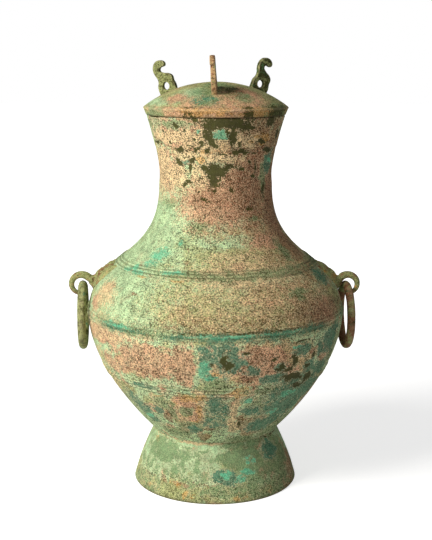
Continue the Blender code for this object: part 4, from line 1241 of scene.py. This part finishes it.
def finial_curve(sizes, side, lean):
    """Flat curve of a finial's plate with its eye, its foot sunk a little into the dome."""
    height = sizes.finial_height
    turn = Matrix.Rotation(-lean, 2)
    curve = bpy.data.curves.new("finial", "CURVE")
    curve.dimensions = "2D"
    curve.fill_mode = "BOTH"
    curve.resolution_u = 8
    curve.extrude = sizes.finial_thickness / 2 - sizes.finial_round
    curve.bevel_depth = sizes.finial_round
    curve.bevel_resolution = 2
    curve.offset = -sizes.finial_round
    foot = [Vector((x * FINIAL_FOOT * height * side, -FINIAL_SINK - FINIAL_FALL * x * x)) for x in (-1, 0, 1)]
    *points, eye = [turn @ Vector((side * x * height, y * height))
                    for x, y in FINIAL_OUTLINE + (FINIAL_HOLE_PLACE,)]
    quarters = [eye + sizes.finial_hole * Vector((math.cos(a), math.sin(a))) for a in
                (0.0, math.pi / 2, math.pi, 1.5 * math.pi)]
    for loop, kinds in ((foot + points, ["VECTOR"] * 3 + ["AUTO"] * len(points)), (quarters, ["AUTO"] * 4)):
        spline = curve.splines.new("BEZIER")
        spline.bezier_points.add(len(loop) - 1)
        spline.use_cyclic_u = True
        for knot, point, kind in zip(spline.bezier_points, loop, kinds):
            knot.co = (point.x, point.y, 0.0)
            knot.handle_left_type = kind
            knot.handle_right_type = kind
    return curve


def weather(mesh, seed, unevenness, depth):
    """Roughen a small casting and store its hollows, for painted shade, and its ridges, for a painted
    highlight, which count fully at a given depth.
    """
    places = points_of(mesh)
    push_out(mesh, unevenness * (lumps(places, 0.006, seed) + 0.6 * lumps(places, 0.0022, seed + 1)))
    deep = hollows(mesh, 8)
    deep -= np.median(deep)
    # Painted shade in the hollows and a painted highlight on the ridges
    paint(mesh, "hollow", np.clip(deep / depth - 0.1, 0, 1))
    paint(mesh, "painted_highlight", np.clip(-deep / depth - 0.15, 0, 1))


class VASE_OT_finials(bpy.types.Operator):
    """Make the three curled plates that stand on the lid"""
    bl_idname = "vase.make_finials"
    bl_label = "Finials"

    def execute(self, context):
        sizes = context.scene.vase_lid
        dome = Dome(sizes, context.scene.vase_vessel)
        for index, (name, direction, distance, side, lean, tilt, tones) in enumerate(FINIALS):
            material = crust_material(name + " crust", tones, pale=0.12, pitted=0.8, clouds=140.0,
                                      offset=50.0 + index)
            curve = finial_curve(sizes, side, math.radians(lean))
            mesh = remeshed(name + "_plate", curve, sizes.finial_grain, FINIAL_SOFTENING)
            slope = math.asin(distance / dome.sphere)
            outward = Matrix.Rotation(math.radians(direction), 4, "Z") @ Matrix.Rotation(slope, 4, "Y")
            place = Matrix.Translation(Vector((0, 0, dome.centre)) + outward @ Vector((0, 0, dome.sphere)))
            upright = Matrix.Rotation(math.pi / 2 + math.radians(tilt), 4, "X")
            mesh.transform(place @ outward @ upright)
            tidy_mesh(mesh)
            weather(mesh, seed=30 + index, unevenness=0.00010, depth=0.00045)
            add_piece("vase_" + name, mesh, material, "vase", [name])
        return {"FINISHED"}


def mask_half_width(sizes, along):
    """Half the width of the mask at a share of its length."""
    spread = np.minimum((along + 1) / 2 * MASK_HORN_SPREAD, 1.0)
    return sizes.mask_width / 2 * (MASK_CHIN + (1 - MASK_CHIN) * np.sin(math.pi / 2 * spread))


def mask_half_length(sizes, across, along):
    """Half the length of the mask: three lobes along its top, a rounded chin below."""
    wave = (1 - np.cos(MASK_HORN_WAVES * math.pi * across)) / 2
    above = 1 - along * MASK_HORN_NOTCH * wave
    below = 1 - MASK_CHIN_ROUND * (along * across) ** 2
    return sizes.mask_length / 2 * np.where(along > 0, above, below)


def arc_line(x, y, line):
    """Height of one raised or sunk line of the mask's face."""
    middle_x, middle_y, radius, first, last, half, height = line
    away_x, away_y = x - middle_x, y - middle_y
    angle = np.degrees(np.arctan2(away_y, away_x))
    turn = (angle - first) % 360
    span = last - first
    within = (turn <= span) | (span >= 360)
    distance = np.abs(np.hypot(away_x, away_y) - radius)
    ends = [np.hypot(away_x - radius * math.cos(math.radians(a)), away_y - radius * math.sin(math.radians(a)))
            for a in (first, last)]
    distance = np.where(within, distance, np.minimum(*ends))
    return height * np.clip(1 - (distance / half) ** 2, 0, 1)


def mask_face_height(sizes, across, along):
    """Relief of the mask's face: swell, lumps and fine lines."""
    swell = np.maximum((1 - across ** 2) * (1 - along ** 2), 0.0)
    height = sizes.mask_edge + sizes.mask_swell * swell
    x = np.abs(across) * mask_half_width(sizes, along) / sizes.mask_length
    y = along / 2
    for side, place, wide, tall, proud in MASK_LUMPS:
        distance = np.hypot((x - side) / wide, (y - place) / tall)
        height = height + proud * np.where(distance < 1, (1 - distance ** 2) ** 2, 0.0)
    for line in MASK_LINES:
        height = height + arc_line(x, y, line)
    fade = steep(1 - np.maximum(np.abs(across), np.abs(along)), 0.0, MASK_FADE)
    return height * (MASK_EDGE_RELIEF + (1 - MASK_EDGE_RELIEF) * fade)


def mask_slab(sizes, outline, side, drop):
    """Closed slab of the mask that follows the shoulder, with its relief outside."""
    columns = int(sizes.mask_width / sizes.mask_grain)
    rows = int(sizes.mask_length / sizes.mask_grain)
    shape = bmesh.new()
    bmesh.ops.create_grid(shape, x_segments=columns, y_segments=rows, size=1.0)
    mesh = bpy.data.meshes.new("mask_face")
    bmesh.ops.extrude_face_region(shape, geom=shape.faces[:], use_keep_orig=True)
    shape.verts.ensure_lookup_table()
    front = len(shape.verts) // 2
    bmesh.ops.recalc_face_normals(shape, faces=shape.faces[:])
    shape.to_mesh(mesh)
    shape.free()
    grid = points_of(mesh)
    across, along = grid[:, 0], grid[:, 1]
    height = outline.climb(sizes.mask_height - drop, along * mask_half_length(sizes, across, along))
    proud = np.full(len(grid), -MASK_SINK)
    proud[:front] = mask_face_height(sizes, across[:front], along[:front])
    angle = across * mask_half_width(sizes, along) / outline.radius(height)
    radius, level = outline.point(height, proud)
    move_points(mesh, np.stack([side * radius * np.cos(angle), radius * np.sin(angle), level], axis=1))
    return mesh


def hook_mesh(sizes, outline, side, drop):
    """Tapering bar that leaves the nose and bends round the ring."""
    root = float(outline.climb(sizes.mask_height, -sizes.root_drop)) - drop
    level = root + drop - sizes.hook_fall
    x, z = float(outline.radius(level)) + sizes.hook_reach, level - drop
    nose = float(outline.climb(root, sizes.nose_reach))
    path = [(*outline.point(nose, sizes.nose_bar), sizes.nose_bar),
            (*outline.point(root, sizes.root_bar), sizes.root_bar)]
    for part in np.linspace(0, 1, HOOK_POINTS):
        angle = math.radians(HOOK_START + (HOOK_END - HOOK_START) * part)
        bar = sizes.hook_bar + (sizes.hook_tip - sizes.hook_bar) * part
        radius = sizes.hook_eye + bar
        path.append((x + radius * math.cos(angle), z + radius * math.sin(angle), bar))
    tip = math.radians(HOOK_END)
    radius = sizes.hook_eye + sizes.hook_tip
    for reach, thin in HOOK_TIP_STEPS:
        path.append((x + radius * math.cos(tip) + reach * sizes.hook_tip * math.sin(tip),
                     z + radius * math.sin(tip) - reach * sizes.hook_tip * math.cos(tip),
                     thin * sizes.hook_tip))
    curve = bpy.data.curves.new("hook", "CURVE")
    curve.dimensions = "3D"
    curve.bevel_depth = 1.0
    curve.bevel_resolution = 6
    curve.use_fill_caps = True
    spline = curve.splines.new("POLY")
    spline.points.add(len(path) - 1)
    for point, (across, level, bar) in zip(spline.points, path):
        point.co = (side * across, 0.0, level, 1.0)
        point.radius = bar
    return settled("hook", curve)


class VASE_OT_masks(bpy.types.Operator):
    """Make the two monster masks, each with the hook that its nose runs out into"""
    bl_idname = "vase.make_masks"
    bl_label = "Mask handles"

    def execute(self, context):
        sizes = context.scene.vase_handles
        outline = Outline(context.scene.vase_vessel)
        for index, (name, side, drop, tones, _) in enumerate(SIDES):
            material = crust_material(f"mask {name} crust", tones, pale=0.22, pitted=0.75,
                                      clouds=70.0, offset=70.0 + index)
            shape = bmesh.new()
            shape.from_mesh(mask_slab(sizes, outline, side, drop))
            shape.from_mesh(hook_mesh(sizes, outline, side, drop))
            bmesh.ops.remove_doubles(shape, verts=shape.verts[:], dist=0.000001)
            bmesh.ops.recalc_face_normals(shape, faces=shape.faces[:])
            joined = bpy.data.meshes.new("mask_" + name)
            shape.to_mesh(joined)
            shape.free()
            mesh = remeshed("mask_" + name, joined, sizes.mask_grain, MASK_SOFTENING)
            tidy_mesh(mesh)
            weather(mesh, seed=40 + index, unevenness=0.00008, depth=0.00045)
            add_piece("vase_mask_" + name, mesh, material, "vase", ["mask_" + name])
        return {"FINISHED"}


class VASE_OT_rings(bpy.types.Operator):
    """Make the two loose rings that hang in the hooks"""
    bl_idname = "vase.make_rings"
    bl_label = "Rings"

    def execute(self, context):
        sizes = context.scene.vase_handles
        tree = bpy.data.node_groups.get("cast ring") or ring_tree("cast ring")
        for index, (name, _, _, _, tones) in enumerate(SIDES):
            body = name + "_ring"
            joint = next(j for j in frame["joints"] if j["child"] == body)
            material = crust_material(f"ring {name} crust", tones, pale=0.12, pitted=0.6, clouds=75.0,
                                      offset=90.0 + index)
            start = line_mesh("ring_start", ((0.0, 0.0), (0.0, 0.001)))
            mesh = baked("ring_bent", start, tree, {
                "Radius": sizes.ring_radius, "Bar": sizes.ring_bar * RING_THIN,
                "Segments": sizes.ring_segments, "Sides": sizes.ring_sides,
                "Unevenness": RING_UNEVEN, "Seed": float(3 + index), "Bronze": material,
            })
            up = Vector((0, 0, 1))
            axis = Vector(joint["axis"]).normalized()
            facing = axis.cross(up).normalized()
            turn = Matrix((axis, up, facing)).transposed().to_4x4()
            hang = Vector(joint["pos_m"]) - up * sizes.ring_radius
            mesh.transform(Matrix.Translation(hang) @ turn)
            tidy_mesh(mesh)
            weather(mesh, seed=50 + index, unevenness=0.00006, depth=0.00030)
            add_piece("vase_ring_" + name, mesh, material, body, ["ring_" + name])
        return {"FINISHED"}


def floor_material():
    """Pale studio floor that glows for the camera, less so near the vase, where a faint shadow lies."""
    material = bpy.data.materials.new("pale floor")
    material.use_nodes = True
    wire = Wiring(material.node_tree)
    seen = wire.node("ShaderNodeLightPath").outputs["Is Camera Ray"]
    away = wire.node("ShaderNodeVectorMath", {0: wire.place()}, operation="LENGTH").outputs["Value"]
    close, far = FLOOR_GLOW
    glow = wire.times(seen, wire.plus(wire.times(wire.ramp(away, *FLOOR_FADE), far - close), close))
    shader = material.node_tree.nodes["Principled BSDF"]
    for label, value in (("Base Color", (*[FLOOR_SHADE] * 3, 1.0)), ("Roughness", 0.9),
                         ("Specular IOR Level", 0.0), ("Emission Color", WHITE), ("Emission Strength", glow)):
        wire.join(value, shader.inputs[label])
    return material


def add_light(name, place, size, power, warmth):
    """Soft square studio light that points at the vase."""
    lamp = bpy.data.lights.new(name, "AREA")
    lamp.size = size
    lamp.energy = power
    lamp.color = warmth
    holder = bpy.data.objects.new(name, lamp)
    holder.location = place
    holder.rotation_euler = (Vector(LIGHT_AIM) - Vector(place)).to_track_quat("-Z", "Y").to_euler()
    bpy.context.scene.collection.objects.link(holder)


def add_camera():
    """Camera at the photograph's place."""
    lens = bpy.data.cameras.new("camera")
    lens.sensor_fit = "VERTICAL"
    lens.sensor_height = 36.0
    lens.lens = LENS_PIXELS / PICTURE_HEIGHT * lens.sensor_height
    camera = bpy.data.objects.new("camera", lens)
    around = Matrix.Rotation(math.radians(CAMERA_ROUND), 4, "Z")
    camera.location = around @ Vector(CAMERA_PLACE)
    look = Matrix.Rotation(math.radians(90 - CAMERA_DOWN), 4, "X")
    roll = Matrix.Rotation(math.radians(CAMERA_ROLL), 4, "Z")
    camera.rotation_euler = (around @ look @ roll).to_euler()
    bpy.context.scene.collection.objects.link(camera)
    bpy.context.scene.camera = camera


class VASE_OT_stage(bpy.types.Operator):
    """Make the pale floor, the soft studio light and the camera"""
    bl_idname = "vase.make_stage"
    bl_label = "Stage"

    def execute(self, context):
        shape = bmesh.new()
        bmesh.ops.create_circle(shape, cap_ends=True, segments=96, radius=FLOOR_RADIUS)
        mesh = bpy.data.meshes.new("floor")
        shape.to_mesh(mesh)
        shape.free()
        mesh.materials.append(floor_material())
        floor = bpy.data.objects.new("floor", mesh)
        floor.location.z = CAD_LOW.z - FLOOR_DROP
        context.scene.collection.objects.link(floor)
        for light in LIGHTS:
            add_light(*light)
        world = bpy.data.worlds.new("studio")
        world.use_nodes = True
        context.scene.world = world
        wire = Wiring(world.node_tree)
        seen = wire.node("ShaderNodeLightPath").outputs["Is Camera Ray"]
        background = world.node_tree.nodes["Background"]
        wire.join(WHITE, background.inputs["Color"])
        wire.join(wire.plus(wire.times(seen, 1 - WORLD_LIGHT), WORLD_LIGHT), background.inputs["Strength"])
        add_camera()
        context.scene.view_settings.view_transform = "Standard"
        return {"FINISHED"}


class VASE_PT_panel(bpy.types.Panel):
    """Lists the vase's pieces and their sizes"""
    bl_idname = "VASE_PT_panel"
    bl_label = "Bronze vase"
    bl_space_type = "VIEW_3D"
    bl_region_type = "UI"
    bl_category = "Vase"

    def draw(self, context):
        layout = self.layout
        for operator in OPERATORS:
            layout.operator(operator.bl_idname)
        for label, group in GROUPS:
            box = layout.box()
            settings = getattr(context.scene, label)
            for name in group.__annotations__:
                box.prop(settings, name)


OPERATORS = (VASE_OT_vessel, VASE_OT_lid, VASE_OT_finials, VASE_OT_masks, VASE_OT_rings, VASE_OT_stage)
GROUPS = (("vase_vessel", VesselSizes), ("vase_lid", LidSizes), ("vase_handles", HandleSizes),
          ("vase_crust", CrustColours))


def register():
    """Register the vase's classes and put its settings on the scene."""
    for label, group in GROUPS:
        bpy.utils.register_class(group)
        setattr(bpy.types.Scene, label, bpy.props.PointerProperty(type=group))
    for item in OPERATORS + (VASE_PT_panel,):
        bpy.utils.register_class(item)


def unregister():
    """Take the vase's classes and settings away again."""
    for item in (VASE_PT_panel,) + OPERATORS[::-1]:
        bpy.utils.unregister_class(item)
    for label, group in GROUPS[::-1]:
        delattr(bpy.types.Scene, label)
        bpy.utils.unregister_class(group)


def main():
    """Make the whole vase."""
    register()
    bpy.ops.vase.make_vessel()
    bpy.ops.vase.make_lid()
    bpy.ops.vase.make_finials()
    bpy.ops.vase.make_masks()
    bpy.ops.vase.make_rings()
    bpy.ops.vase.make_stage()


if __name__ == "__main__":
    main()
